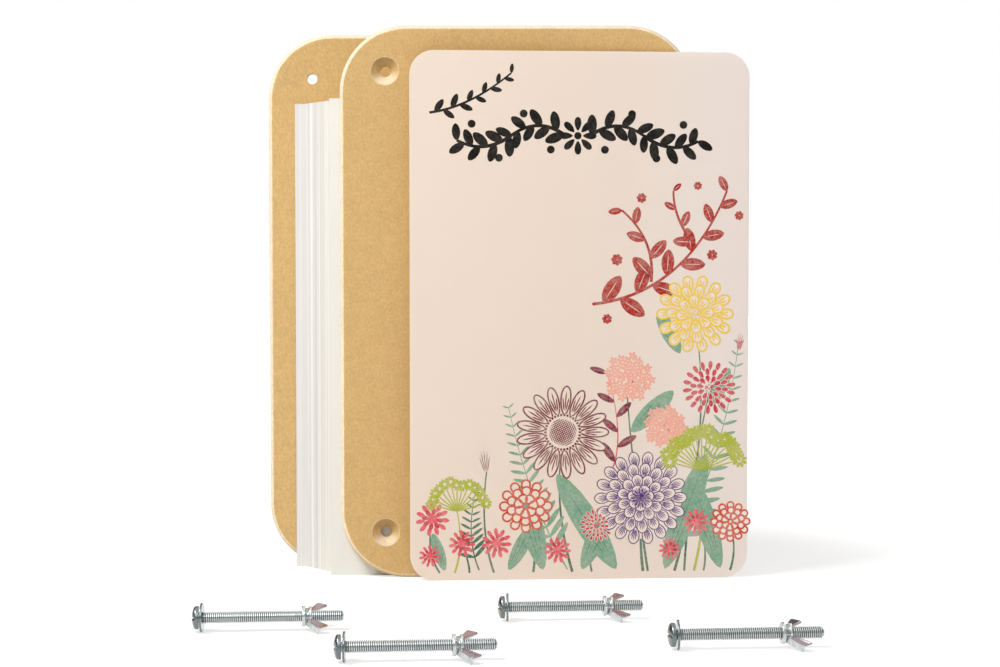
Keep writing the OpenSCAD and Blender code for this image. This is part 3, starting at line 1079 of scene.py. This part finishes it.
class Plates:
    """Collects what is printed in each ink. Places are millimetres from the card's lower left corner."""

    def __init__(self, front, layer):
        self.front = front
        self.layer = layer
        self.count = 0
        self.inks = {}
        petal = petal_tree()
        petal_ring = petal_ring_tree(petal)
        self.trees = {
            "ring": petal_ring,
            "head": seed_head_tree(petal_ring),
            "stem": stem_tree(),
            "spray": leaf_spray_tree(petal),
            "hatch": hatched_disc_tree(),
            "umbel": umbel_tree(petal_ring),
        }

    def stamp(self, ink, tree, x=0.0, y=0.0, layer=0, turn=0.0, path=None, **inputs):
        """Prints one motif. Turn is in degrees."""
        self.count += 1
        top = self.front + self.layer * (layer + 1 + self.count % PLATE_STEPS / (2 * PLATE_STEPS))
        base = None
        if path:
            base = bpy.data.meshes.new("path")
            base.from_pydata([tuple(p) for p in path], [(i, i + 1) for i in range(len(path) - 1)], [])
        mesh = grown(self.trees[tree], base, Base=self.front - PLATE_FOOT, Top=top, **inputs)
        mesh.transform(Matrix.Translation((x, y, 0)) @ Matrix.Rotation(math.radians(turn), 4, "Z"))
        self.inks.setdefault(ink, []).append(mesh)

    def ring(self, ink, x, y, layer, turn, petals, inner, size, width, **more):
        """A ring of petals that begin at an inner radius."""
        self.stamp(ink, "ring", x, y, layer, turn, Petals=petals, Inner=inner, Length=size, Width=width,
                   **more)

    def disc(self, ink, x, y, layer, radius):
        """A plain round spot."""
        self.ring(ink, x, y, layer, 0.0, 1, -radius, 2 * radius, 2 * radius)

    def head(self, ink, x, y, layer, seeds, radius, petals, size, width, **more):
        """A disc of small rings of petals."""
        self.stamp(ink, "head", x, y, layer, Seeds=seeds, Radius=radius, Petals=petals, Length=size,
                   Width=width, **more)

    def stem(self, ink, path, width=0.7, end_width=0.5, layer=0):
        """A stem along a path."""
        self.stamp(ink, "stem", layer=layer, path=path, Width=width, End_Width=end_width)

    def spray(self, ink, path, layer, leaves, size, width, **more):
        """Leaves along a path."""
        self.stamp(ink, "spray", layer=layer, path=path, Leaves=leaves, Length=size, Width=width, **more)

    def fern(self, ink, start, bend, end, count, size):
        """A frond with narrow leaves on both sides of its stem."""
        path = curve_points(start, bend, end)
        self.stem(ink, path, 0.6, 0.25, 1)
        for side in (1, -1):
            self.spray(ink, path, 1, count, size, size * 0.22, Point=0.3, Side=side, Angle=1.05, Shrink=0.75,
                       Bare=0.16, Seed=4 + side)

    def blade(self, ink, vein, x, y, turn, size, width):
        """One long leaf that grows from a point."""
        self.ring(ink, x, y, 1, turn, 1, 0.0, size, width, Point=0.25)
        self.ring(vein, x, y, 2, turn, 1, 0.0, size, width, Point=0.25, Strokes_Only=True, Line=0.24)

    def drawn_ring(self, ink, x, y, layer, turn, *petals, strokes=0, **more):
        """A ring of petals in outline over a bare ground, with strokes where asked."""
        self.ring("ground", x, y, layer, turn, *petals, **more)
        self.ring(ink, x, y, layer + 1, turn, *petals, Outlined=True, **more)
        if strokes:
            self.ring(ink, x, y, layer + 1, turn, *petals, Strokes=strokes, Strokes_Only=True, **more)

    def tulip(self, ink, vein, x, y, size, turn):
        """A closed tulip head that opens along turn."""
        petal = (1, 0.0, 10.0 * size, 5.4 * size)
        shape = dict(Taper=-0.25, Point=0.25)
        for side in (-17, 17):
            self.ring(ink, x, y, 2, turn + side, *petal, **shape)
        self.ring("ground", x, y, 3, turn, *petal, Outlined=True, Line=0.7, **shape)
        self.ring(ink, x, y, 4, turn, *petal, **shape)
        self.ring(vein, x, y, 5, turn, *petal, Strokes=5, Strokes_Only=True, Line=0.26, **shape)


def print_meadow(plates):
    """A meadow that grows from the card's lower edge and rises to the right."""
    ring, drawn_ring, head = plates.ring, plates.drawn_ring, plates.head
    for ink, *route, width in (
        ("moss", (66, 3), (58, 30), (62, 56), 1.1), ("moss", (108, 3), (124, 60), (116, 106), 1.1),
        ("moss", (97, 3), (90, 48), (88, 80), 1.0), ("moss", (34, 3), (28, 20), (31, 44), 0.9),
        ("moss", (95, 3), (93, 20), (95, 34), 1.2), ("moss", (50, 3), (52, 14), (47, 28), 1.0),
        ("moss", (131, 3), (134, 12), (131, 22), 0.9), ("moss", (112, 3), (114, 40), (122, 76), 0.9),
        ("moss", (12, 3), (6, 12), (9, 24), 0.8), ("moss", (24, 3), (24, 8), (20, 17), 0.8),
        ("moss", (74, 3), (72, 10), (76, 20), 0.8), ("moss", (120, 3), (122, 12), (118, 22), 0.8),
        ("lime", (116, 3), (121, 22), (119, 44), 1.1), ("lime", (18, 3), (22, 14), (19, 28), 0.8),
    ):
        plates.stem(ink, curve_points(*route), width)

    plates.fern("green", (64, 4), (48, 32), (40, 70), 16, 11.0)
    plates.fern("green", (104, 4), (128, 44), (134, 96), 18, 11.0)
    plates.fern("moss", (28, 4), (22, 18), (27, 38), 11, 7.5)
    for x, y, turn, size, width in (
        (54, 4, 104, 36, 9.0), (84, 4, 122, 46, 10.5), (104, 4, 70, 50, 10.5), (70, 4, 66, 30, 8.0),
        (40, 4, 62, 22, 6.0), (127, 4, 108, 40, 9.0), (90, 60, 44, 24, 7.5), (110, 92, 118, 20, 6.5),
        (14, 4, 108, 16, 4.8), (122, 70, 62, 18, 6.0),
    ):
        plates.blade("green", "moss", x, y, turn, size, width)

    path = curve_points((82, 44), (88, 58), (80, 84))
    plates.stem("pink", path, 0.6, 0.3, 1)
    plates.spray("burgundy", path, 1, 7, 10.5, 10.5 * 0.34, Point=0.35)
    plates.spray("pink", path, 2, 7, 10.5, 10.5 * 0.34, Point=0.35, Strokes=1, Strokes_Only=True, Line=0.28)

    plates.disc("ground", 62, 60, 2, 9)
    drawn_ring("burgundy", 62, 60, 3, 0, 17, 7.0, 11.8, 4.5, strokes=3, Taper=0.4, Line=0.62)
    plates.disc("ground", 62, 60, 5, 7.6)
    ring("burgundy", 62, 60, 6, 0, 34, 6.5, 1.1, 1.0)
    plates.stamp("burgundy", "hatch", 62, 60, 6, 28, Radius=5.7, Lines=15, Line=0.42)

    for count, inner, reach, layer, turn in (
        (14, 9.2, 6.4, 3, 0), (11, 5.8, 6.0, 5, 14), (8, 2.4, 5.4, 7, 5),
    ):
        drawn_ring("yellow", 116, 108, layer, turn, count, inner, reach, 4.6, strokes=2, Taper=0.6, Line=0.85)
    head("yellow", 116, 108, 9, 20, 2.6, 1, 0.95, 0.95)

    for x, y, size in ((122, 78, 1.0), (76, 22, 0.62)):
        for count, inner, reach, layer in ((18, 6.6, 4.4, 3), (14, 4.2, 3.8, 5), (10, 2.0, 3.2, 7)):
            petals = (layer * 9, count, inner * size, reach * size, 2.5 * size)
            ring("crimson", x, y, layer, *petals, Taper=0.9, Point=0.1)
            ring("ground", x, y, layer + 1, *petals, Taper=0.9, Point=0.1, Outlined=True, Line=0.2)
        head("crimson", x, y, 9, 12, 1.9 * size, 1, 0.8, 0.8)

    plates.tulip("crimson", "burgundy", 31, 42, 1.35, 96)
    plates.tulip("pink", "crimson", 134, 92, 0.95, 84)

    plates.disc("ground", 94, 33, 2, 17)
    for count, inner, reach, layer, turn in (
        (18, 12.0, 7.0, 3, 0), (15, 8.0, 6.4, 5, 9), (11, 4.2, 5.6, 7, 3), (7, 0.9, 4.6, 9, 12),
    ):
        drawn_ring("purple", 94, 33, layer, turn, count, inner, reach, 5.0, strokes=5, Taper=0.5, Point=0.15,
                   Line=0.42)
    head("purple", 94, 33, 11, 14, 1.9, 5, 0.8, 0.5, Inner=0.1)

    for x, y, reach, rays, size in ((119, 44, 16.5, 17, 1.35), (19, 28, 12.5, 13, 1.0)):
        shape = dict(Rays=rays, Reach=reach, Spread=2.6, Seed=3)
        plates.stamp("lime", "umbel", x, y, 4, Rays_Only=True, Ray_Line=0.6, **shape)
        plates.stamp("lime", "umbel", x, y, 5, Petals=9, Inner=0.7 * size, Length=1.7 * size,
                     Width=0.95 * size, **shape)

    for x, y, size in ((47, 30, 1.25), (131, 23, 0.95)):
        for count, inner, reach, layer, turn in (
            (12, 4.6, 3.9, 4, 0), (10, 2.9, 3.4, 6, 16), (7, 0.9, 3.0, 8, 8),
        ):
            drawn_ring("orange", x, y, layer, turn, count, inner * size, reach * size, 3.4 * size, Taper=0.7,
                       Line=0.75)

    for x, y, size in (
        (9, 25, 1.5), (21, 15, 1.2), (35, 15, 1.35), (60, 12, 1.2), (8, 10, 1.0), (117, 23, 1.2),
        (106, 12, 1.0),
    ):
        for ink, count, inner, reach, layer in (
            ("pink", 11, 2.0, 2.6, 3), ("crimson", 8, 0.8, 2.2, 4), ("pink", 5, 0.0, 1.6, 5),
        ):
            ring(ink, x, y, layer, layer * 20, count, inner * size, reach * size, 1.35 * size, Taper=0.4,
                 Point=0.2)

    for x, y, radius in ((89, 82, 9.5), (104, 62, 8.0)):
        plates.disc("ground", x, y, 3, radius * 0.8)
        head("peach", x, y, 4, 36, radius, 5, 1.9, 1.15, Inner=0.25, Edge_Size=0.9)


def print_twig(plates):
    """A red twig with broad leaves and berries that rises towards the upper right."""
    for *route, count, size in (
        ((74, 112), (112, 116), (129, 158), 11, 14.0), ((98, 121), (100, 138), (86, 150), 5, 12.0),
        ((116, 136), (107, 146), (107, 158), 4, 9.0),
    ):
        path = curve_points(*route)
        leaves = (count, size, size * 0.5)
        shape = dict(Shrink=0.5, Bare=0.06, Angle=0.85, Point=0.3)
        plates.stem("red", path, 1.2, 0.8, 3)
        plates.spray("red", path, 1, *leaves, **shape)
        plates.spray("ground", path, 2, *leaves, Strokes=1, Strokes_Only=True, Line=0.35, **shape)
    for x, y, size in (
        (84, 130, 1.3), (80, 106, 1.1), (123, 132, 1.2), (134, 148, 1.0), (94, 155, 1.1), (117, 160, 0.9),
    ):
        plates.ring("red", x, y, 2, 20, 7, 0.2, 1.7 * size, 1.3 * size)


def print_garland(plates):
    """A bold black garland across the top, with a slanting sprig above its left end."""
    middle, height = 68, 180
    for way in (1, -1):
        for half in (((5, 0), (16, 8), (27, 0)), ((27, 0), (38, -8), (49, -2))):
            path = curve_points(*[(middle + way * x, height + y) for x, y in half])
            plates.stem("black", path, 1.5, 1.2, 1)
            plates.spray("black", path, 1, 8, 8.4, 4.2, Point=0.15, Angle=0.95, Shrink=0.1, Bare=0.04, Seed=6)
        for x, y in ((11, -5.6), (22, 8.8), (32, -9), (43, 4.6)):
            plates.disc("black", middle + way * x, height + y, 1, 1.6)
    plates.ring("black", middle, height, 1, 0, 8, 2.0, 5.6, 3.3, Taper=0.6)
    plates.disc("black", middle, height, 1, 1.5)
    sprig = curve_points((8, 189), (24, 191), (41, 205))
    plates.stem("black", sprig, 1.0, 0.7, 1)
    plates.spray("black", sprig, 1, 11, 6.4, 2.8, Point=0.25, Angle=0.8, Shrink=0.35, Bare=0.06, Seed=9)


# Operators

class FLOWERPRESS_OT_boards(bpy.types.Operator):
    """Gives the two boards their fibreboard finish"""
    bl_idname = "flower_press.boards"
    bl_label = "Finish the boards"

    def execute(self, context):
        settings = context.scene.flower_press.board
        group = group_named("fibreboard", fibreboard_group)
        for node, outer in (("front_board", -1), ("back_board", 1)):
            material = board_material(node + "_fibreboard", settings, group, node, outer)
            for slot in frame["nodes"][node].material_slots:
                slot.material = material
        return {"FINISHED"}


class FLOWERPRESS_OT_papers(bpy.types.Operator):
    """Builds the fanned divider cards and the pad of blotting sheets"""
    bl_idname = "flower_press.papers"
    bl_label = "Build the papers"

    def execute(self, context):
        settings = context.scene.flower_press.paper
        mm = Millimetres(settings)
        group = group_named("paper_stock", paper_group)
        tree = group_named("sheet_stack", sheet_stack_tree)
        fan, pad = (settings.front, settings.rear), (settings.pad, settings.pad)
        for name, start, body, slot, colours, sway, seed, lines in (
            ("divider_stack", "divider_card_", "divider_cards", "white_card",
             fan, mm.sway, 5, settings.lines),
            ("blotting_stack", "blotting_sheet_", "blotting_pad", "blotting_paper",
             pad, mm.sway / 3, 8, 0),
        ):
            nodes = node_names(start)
            boxes = [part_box(node) for node in nodes]
            width, thickness, height = ((high - low) / MM for low, high in zip(*boxes[0]))
            base = bpy.data.meshes.new("places")
            base.from_pydata([((low[0] + high[0]) / 2 / MM, (low[1] + high[1]) / 2 / MM, low[2] / MM)
                              for low, high in boxes], [], [])
            material = paper_material(name, group, colours, len(nodes), settings.cut, lines)
            mesh = grown(tree, base, Width=width, Thickness=thickness, Height=height, Corner=mm.corner,
                         Sway=sway, Seed=seed, Material=material)
            piece(name, mesh, body, nodes, material)
        return {"FINISHED"}


class FLOWERPRESS_OT_cover_card(bpy.types.Operator):
    """Builds the cover card's body with rounded edges"""
    bl_idname = "flower_press.cover_card"
    bl_label = "Build the cover card"

    def execute(self, context):
        settings = context.scene.flower_press.cover
        mm = Millimetres(settings)
        place, (width, height, depth) = card_space()
        outline = rounded_rectangle(width, height, mm.corner)
        body = slab(rounded_levels(outline, 0, depth - mm.print_room, mm.rounding))
        material = card_material("cover_card_stock", group_named("paper_stock", paper_group), settings)
        piece("cover_card_body", body, "cover_card", ["cover_card"], material, place, 40)
        return {"FINISHED"}


class FLOWERPRESS_OT_print(bpy.types.Operator):
    """Prints the meadow, the red twig and the black garland on the cover card"""
    bl_idname = "flower_press.print"
    bl_label = "Print the cover card"

    def execute(self, context):
        press = context.scene.flower_press
        place, (_, _, depth) = card_space()
        plates = Plates(depth - Millimetres(press.cover).print_room, Millimetres(press.inks).layer)
        print_meadow(plates)
        print_twig(plates)
        print_garland(plates)
        group = group_named("printed_ink", ink_group)
        for ink, meshes in plates.inks.items():
            if ink == "ground":
                material = bpy.data.materials["cover_card_stock"]
            else:
                tone, wear = getattr(press.inks, ink), 0.04 if ink == "black" else 0.25
                material = ink_material("ink_" + ink, group, tone, press.cover.ground, wear)
            piece("print_" + ink, joined(meshes), "cover_card", [], material, place, 30)
        return {"FINISHED"}


class FLOWERPRESS_OT_bolts(bpy.types.Operator):
    """Builds the four bolts with slotted pan heads and a true screw thread"""
    bl_idname = "flower_press.bolts"
    bl_label = "Build the bolts"

    def head(self, mm, radius):
        """The slotted head, and the height of its round side."""
        crown, edge, fillet = mm.head_crown, mm.head_edge, mm.rounding
        across = radius - edge
        rim = mm.head_height - crown + math.sqrt((crown - edge) ** 2 - across ** 2)
        tilt = math.degrees(math.asin(across / (crown - edge)))
        section = arc((0, crown - mm.head_height), crown, -90, tilt - 90, 14)[:-1]
        section[0] = (0, -mm.head_height)
        section += arc((across, -rim), edge, tilt - 90, 0, 12)
        section += arc((radius - fillet, -fillet), fillet, 0, 90, 4)
        beyond = 2  # how far the cutter reaches out of the head
        slot = block(mm.slot_width, radius * 3, mm.slot_depth + beyond,
                     mm.slot_depth / 2 - mm.head_height - beyond / 2)
        head = less(revolved(section + [(0, 0)], 96), slot, "EXACT")
        return modified(head, "BEVEL", width=0.07, segments=2, angle_limit=math.radians(40)), rim

    def execute(self, context):
        settings = context.scene.flower_press.hardware
        mm = Millimetres(settings)
        points, (point, axis) = points_of("bolt_1"), bolt_axis(1)
        low, high = span(points, axis)
        shank = (high - low) / MM - mm.head_height
        head_radius = max((at - point).cross(axis).length for at in points) / MM
        head, rim = self.head(mm, head_radius)
        core, crest, pitch = mm.core, mm.crest, mm.pitch
        body = revolved([
            (0, -rim / 2), (core, -rim / 2), (core, shank - pitch), (core - (crest - core), shank),
            (0, shank),
        ], settings.turn_steps * 2)
        start = mm.neck + pitch / 2
        ridge = grown(
            group_named("thread", thread_tree), Pitch=pitch, Turns=(shank - pitch / 2 - start) / pitch,
            Core=core, Crest=crest, Crest_Flat=mm.crest_flat, Ridge=mm.ridge, Start=start,
            Steps=settings.turn_steps)
        whole = united(body, ridge, head)

        def root_at(x, y, z):
            """How much painted shade the plating takes: most at the rim, in the first turns and in the
            thread's roots; on the head it is a painted dark reflection.
            """
            radius = math.hypot(x, y)
            if z <= 0:
                return 0.6 + 0.16 * radius / head_radius
            depth = min(max((crest - radius) / (crest - core), 0), 1) if z < shank - 0.01 else 0
            return max(depth, 0.7) if z < mm.neck + 2 * pitch else depth

        # Painted shade and painted dark reflection on the bolt.
        stained(whole, "thread_root", root_at)
        painted_marks = [("thread_root", settings.root)]
        material = metal_material("bolt_zinc", settings, painted_marks, settings.thread_sheen)
        for number in SETS:
            node = f"bolt_{number}"
            point, axis = bolt_axis(number)
            start = span(points_of(node), axis)[0] + settings.head_height
            place = basis(-UP, axis.cross(-UP), axis, point + axis * (start - point.dot(axis)))
            piece(node + "_screw", whole, node, [node], material, place, 32)
        return {"FINISHED"}


class FLOWERPRESS_OT_washers(bpy.types.Operator):
    """Builds the four flat washers with rounded edges"""
    bl_idname = "flower_press.washers"
    bl_label = "Build the washers"

    def execute(self, context):
        settings = context.scene.flower_press.hardware
        material = metal_material("washer_zinc", settings, [("thread_root", settings.root)])
        edge = Millimetres(settings).rounding * 1.5
        for number in SETS:
            node = f"washer_{number}"
            out = flat_face(node, bolt_axis(number)[1])
            up = (UP - out * UP.dot(out)).normalized()
            axes = (up.cross(out), up, out)
            spans = [span(points_of(node), axis) for axis in axes]
            origin = sum((axis * (low + high) / 2 for axis, (low, high) in zip(axes[:2], spans)), Vector())
            origin += out * spans[2][0]
            radii = [(place - origin).cross(out).length / MM for place in points_of(node)]
            inner, outer, thick = min(radii), max(radii), (spans[2][1] - spans[2][0]) / MM
            section = []
            for start, *corner in (
                (-90, outer - edge, edge), (0, outer - edge, thick - edge),
                (90, inner + edge, thick - edge), (180, inner + edge, edge),
            ):
                section += arc(corner, edge, start, start + 90, 4)
            whole = ring(section, 72)
            # Painted dark reflection on the washer's outer rim.
            stained(whole, "thread_root",
                    lambda x, y, z: 0.76 * (math.hypot(x, y) > outer - edge / 2 and z < thick - edge / 2))
            piece(node + "_ring", whole, node, [node], material, basis(*axes, origin), 40)
        return {"FINISHED"}


class FLOWERPRESS_OT_wing_nuts(bpy.types.Operator):
    """Builds the four wing nuts, each a ringed hub with two wings of folded sheet"""
    bl_idname = "flower_press.wing_nuts"
    bl_label = "Build the wing nuts"

    def hub(self, mm):
        """The hub with a groove between its two rings."""
        radius, top, foot_top = mm.hub_radius, mm.hub_height, mm.flange_height
        edge, fillet = mm.ring_edge, mm.ring_edge / 2
        foot, collar, collar_low = radius + mm.flange_out, radius + mm.collar_out, top - mm.collar_height
        section = [(0, 0)]
        for x, y, size, start, end, steps in (
            (foot - edge, edge, edge, -90, 0, 5), (foot - edge, foot_top - edge, edge, 0, 90, 5),
            (radius + fillet, foot_top + fillet, fillet, 270, 180, 3),
            (radius + fillet, collar_low - fillet, fillet, 180, 90, 3),
            (collar - edge, collar_low + edge, edge, -90, 0, 5), (collar - edge, top - edge, edge, 0, 90, 5),
        ):
            section += arc((x, y), size, start, end, steps)
        return revolved(section + [(0, top)], 96)

    def wing(self, settings, reach, height):
        """One wing along the first axis: a blade, and the wall folded down from its outer edge."""
        mm = Millimetres(settings)
        corner, slope = mm.wing_corner, math.radians(settings.end_slope)
        side = mm.wing_end - 2 * corner
        root = mm.bore + mm.wing_root
        low, high = (root, mm.flange_height), (root, (settings.hub_height - settings.ring_edge) / MM)
        end_low = (reach - corner, height - corner - side * math.sin(slope))
        end_high = (end_low[0] - side * math.cos(slope), end_low[1] + side * math.sin(slope))
        out = 90 - math.degrees(slope)
        under, over = touching(low, end_low, corner, -1), touching(high, end_high, corner, 1)
        outline = [low, *arc(end_low, corner, under - 90, out, 10),
                   *arc(end_high, corner, out, over + 90, 10), high]
        thick, rise, edge = mm.wing_thickness, mm.wing_rise, mm.sheet_edge
        blade = slab(rounded_levels(outline, rise - thick, rise, edge))
        low, end = Vector(low), Vector(outline[1])
        along_edge = (end - low).normalized()
        inward = Vector((-along_edge.y, along_edge.x)) * thick
        strip = [tuple(point) for point in (low, end, end + inward, low + inward)]
        wall = slab(rounded_levels(strip, rise - mm.wall_height, rise - thick / 2, edge))
        both = united(blade, wall)
        both.transform(Matrix.Rotation(math.pi / 2, 4, "X"))
        return both

    def nut(self, settings, reach, height):
        """A whole wing nut, with its bore, and with the painted shade and painted pink reflection that its
        plating takes.
        """
        mm = Millimetres(settings)
        wing = self.wing(settings, reach, height)
        other = wing.copy()
        other.transform(Matrix.Scale(-1, 4, (1, 0, 0)))
        other.flip_normals()
        bore, top, sink, funnel = mm.bore, mm.hub_height, 0.3, 1.3
        whole = less(united(self.hub(mm), wing, other), revolved([
            (0, -1), (bore + funnel, -1), (bore, sink), (bore, top - sink), (bore + funnel, top + 1),
            (0, top + 1),
        ], 72))
        rise, edge, radius = mm.wing_rise, mm.sheet_edge, mm.hub_radius
        foot, collar = mm.flange_height, top - mm.collar_height
        # Painted shade in the groove between the hub's two rings.
        stained(whole, "thread_root",
                lambda x, y, z: 0.68 * (math.hypot(x, y) < radius + edge / 2 and foot < z < collar))
        # Painted reflection of the pink card on the upper sides of the wings.
        stained(whole, "wing_top", lambda x, y, z:
                -rise - edge / 8 < y < edge * 9 / 8 - rise and abs(x) > radius - edge and z > foot)
        return whole

    def execute(self, context):
        settings = context.scene.flower_press.hardware
        painted_marks = [("thread_root", settings.root), ("wing_top", settings.wing_zinc)]
        material = metal_material("wing_nut_zinc", settings, painted_marks)
        whole = None
        for number in SETS:
            node = f"wing_nut_{number}"
            point, axis = bolt_axis(number)
            upper = flat_face(node, UP)
            right = axis.cross(upper)
            low, high = span(points_of(node), axis)
            if not whole:
                reach = span([at - point for at in points_of(node)], right)[1]
                whole = self.nut(settings, reach / MM, (high - low) / MM)
            place = basis(right, -upper, axis, point + axis * (low - point.dot(axis)))
            piece(node + "_sheet", whole, node, [node], material, place, 42)
        return {"FINISHED"}


# Stage

FLOOR_HALF = 6.0
LAMP_TARGET = Vector((0, 0, 0.09))
SENSOR_WIDTH = 36


def seen_only(tree):
    """A share of 1 for camera, glossy and transmission rays and 0 for light that bounces, and the rays."""
    rays = add("ShaderNodeLightPath", tree=tree)
    seen = calc("MAXIMUM", rays["Is Camera Ray"], rays["Is Glossy Ray"])
    return calc("MAXIMUM", seen, rays["Is Transmission Ray"]), rays


def floor_material(settings):
    """Matte for the light that bounces, and half glowing for what is seen, so that only shadows show."""
    material = bpy.data.materials.new("floor")
    material.use_nodes = True
    tree = material.node_tree
    tree.nodes.clear()
    matte = add("ShaderNodeBsdfDiffuse", tree=tree, Color=settings.floor)
    place = add("ShaderNodeTexCoord", tree=tree, out="Object")
    away = vector_calc("LENGTH", vector_calc("MULTIPLY", place, (1.6, 1.0, 1.0)), out="Value")
    seen, rays = seen_only(tree)
    ahead = ramp(parts(place)[1], -0.28, -0.19, 0.5, 0.15)
    from_bolts = vector_calc("LENGTH", vector_calc("SUBTRACT", place, (0.0, -0.19, 0.0)), out="Value")
    mirrored_dark = calc("MAXIMUM", ahead, ramp(from_bolts, 0.16, 0.36, 0.0, 0.9)) * rays["Is Glossy Ray"]
    light = 1.0 - mirrored_dark
    dimmed = add("ShaderNodeBsdfDiffuse", Color=grey(light * 0.5))
    glow = ramp(away, 0.2, 0.45, settings.floor_glow, 1.0) * light
    lit = add("ShaderNodeAddShader", dimmed, add("ShaderNodeEmission", Color=WHITE, Strength=glow))
    add_output("ShaderNodeOutputMaterial", add("ShaderNodeMixShader", seen, matte, lit))
    return material


def add_output(kind, surface):
    """Ends a material's or a world's tree."""
    feed(surface.socket.id_data.nodes.new(kind), {"Surface": surface})


def light_world(world, settings):
    """Even light from all round, with brighter and darker parts that only the plating mirrors."""
    world.use_nodes = True
    tree = world.node_tree
    tree.nodes.clear()
    seen, rays = seen_only(tree)
    x, y, z = parts(add("ShaderNodeTexCoord", tree=tree, out="Generated"))
    behind = ramp(y, -0.5, 0.2, 0.5, 0.06)
    aside = ramp(calc("ABSOLUTE", x), 0.6, 0.95, 0.0, 0.15)
    above = ramp(z, 0.45, 0.85, 0.0, 1.0)
    mirrored = calc("MAXIMUM", above, calc("MAXIMUM", behind, aside))
    direct = calc("MAXIMUM", rays["Is Camera Ray"], rays["Is Transmission Ray"])
    strength = mixed(seen, settings.sky, calc("MAXIMUM", mirrored, direct))
    add_output("ShaderNodeOutputWorld", add("ShaderNodeBackground", Color=WHITE, Strength=strength))


class FLOWERPRESS_OT_stage(bpy.types.Operator):
    """Sets the floor, the soft studio light and the camera"""
    bl_idname = "flower_press.stage"
    bl_label = "Set the stage"

    def execute(self, context):
        settings = context.scene.flower_press.stage
        scene = context.scene
        scene.view_settings.view_transform = "Standard"

        mesh = bpy.data.meshes.new("floor")
        corners = [(x * FLOOR_HALF, y * FLOOR_HALF, 0) for x, y in ((-1, -1), (1, -1), (1, 1), (-1, 1))]
        mesh.from_pydata(corners, [], [(0, 1, 2, 3)])
        mesh.materials.append(floor_material(settings))
        floor = linked("floor", mesh)

        scene.world = bpy.data.worlds.new("studio")
        light_world(scene.world, settings)
        for name, power, spot, size, tone in (
            ("key_lamp", settings.key, (-0.62, -0.5, 1.12), 0.42, (1.0, 0.985, 0.965)),
            ("fill_lamp", settings.fill, (-0.2, -1.2, 0.95), 0.7, (0.97, 0.985, 1.0)),
            ("rear_lamp", settings.rear, (0.85, 1.0, 0.8), 0.8, (1.0, 0.99, 0.97)),
        ):
            lamp = bpy.data.lights.new(name, "AREA")
            lamp.energy, lamp.size, lamp.color = power, size, tone
            holder = linked(name, lamp)
            holder.location = spot
            holder.rotation_euler = (LAMP_TARGET - Vector(spot)).to_track_quat("-Z", "Y").to_euler()

        lens = bpy.data.cameras.new("camera")
        lens.lens, lens.sensor_width, lens.shift_y = settings.lens, SENSOR_WIDTH, settings.shift
        lens.dof.use_dof = False
        scene.camera = linked("camera", lens)
        scene.camera.location = settings.camera_place
        scene.camera.rotation_euler = (math.pi / 2 - settings.camera_tilt, 0, 0)
        return {"FINISHED"}


class FLOWERPRESS_PT_panel(bpy.types.Panel):
    """Lists the steps that build the flower press"""
    bl_idname = "FLOWERPRESS_PT_panel"
    bl_label = "Flower press"
    bl_space_type = "VIEW_3D"
    bl_region_type = "UI"
    bl_category = "Flower press"

    def draw(self, context):
        for operator in OPERATORS:
            self.layout.operator(operator.bl_idname)


OPERATORS = (
    FLOWERPRESS_OT_stage,
    FLOWERPRESS_OT_boards,
    FLOWERPRESS_OT_papers,
    FLOWERPRESS_OT_cover_card,
    FLOWERPRESS_OT_print,
    FLOWERPRESS_OT_bolts,
    FLOWERPRESS_OT_washers,
    FLOWERPRESS_OT_wing_nuts,
)
SETTINGS = (
    BoardSettings, PaperSettings, CoverSettings, PrintSettings, HardwareSettings, StageSettings,
    PressSettings,
)


def register():
    for item in (*SETTINGS, *OPERATORS, FLOWERPRESS_PT_panel):
        bpy.utils.register_class(item)
    bpy.types.Scene.flower_press = PointerProperty(type=PressSettings)


def unregister():
    del bpy.types.Scene.flower_press
    for item in reversed((*SETTINGS, *OPERATORS, FLOWERPRESS_PT_panel)):
        bpy.utils.unregister_class(item)


def main():
    """Builds the whole scene."""
    register()
    for operator in OPERATORS:
        family, name = operator.bl_idname.split(".")
        getattr(getattr(bpy.ops, family), name)()


if __name__ == "__main__":
    main()
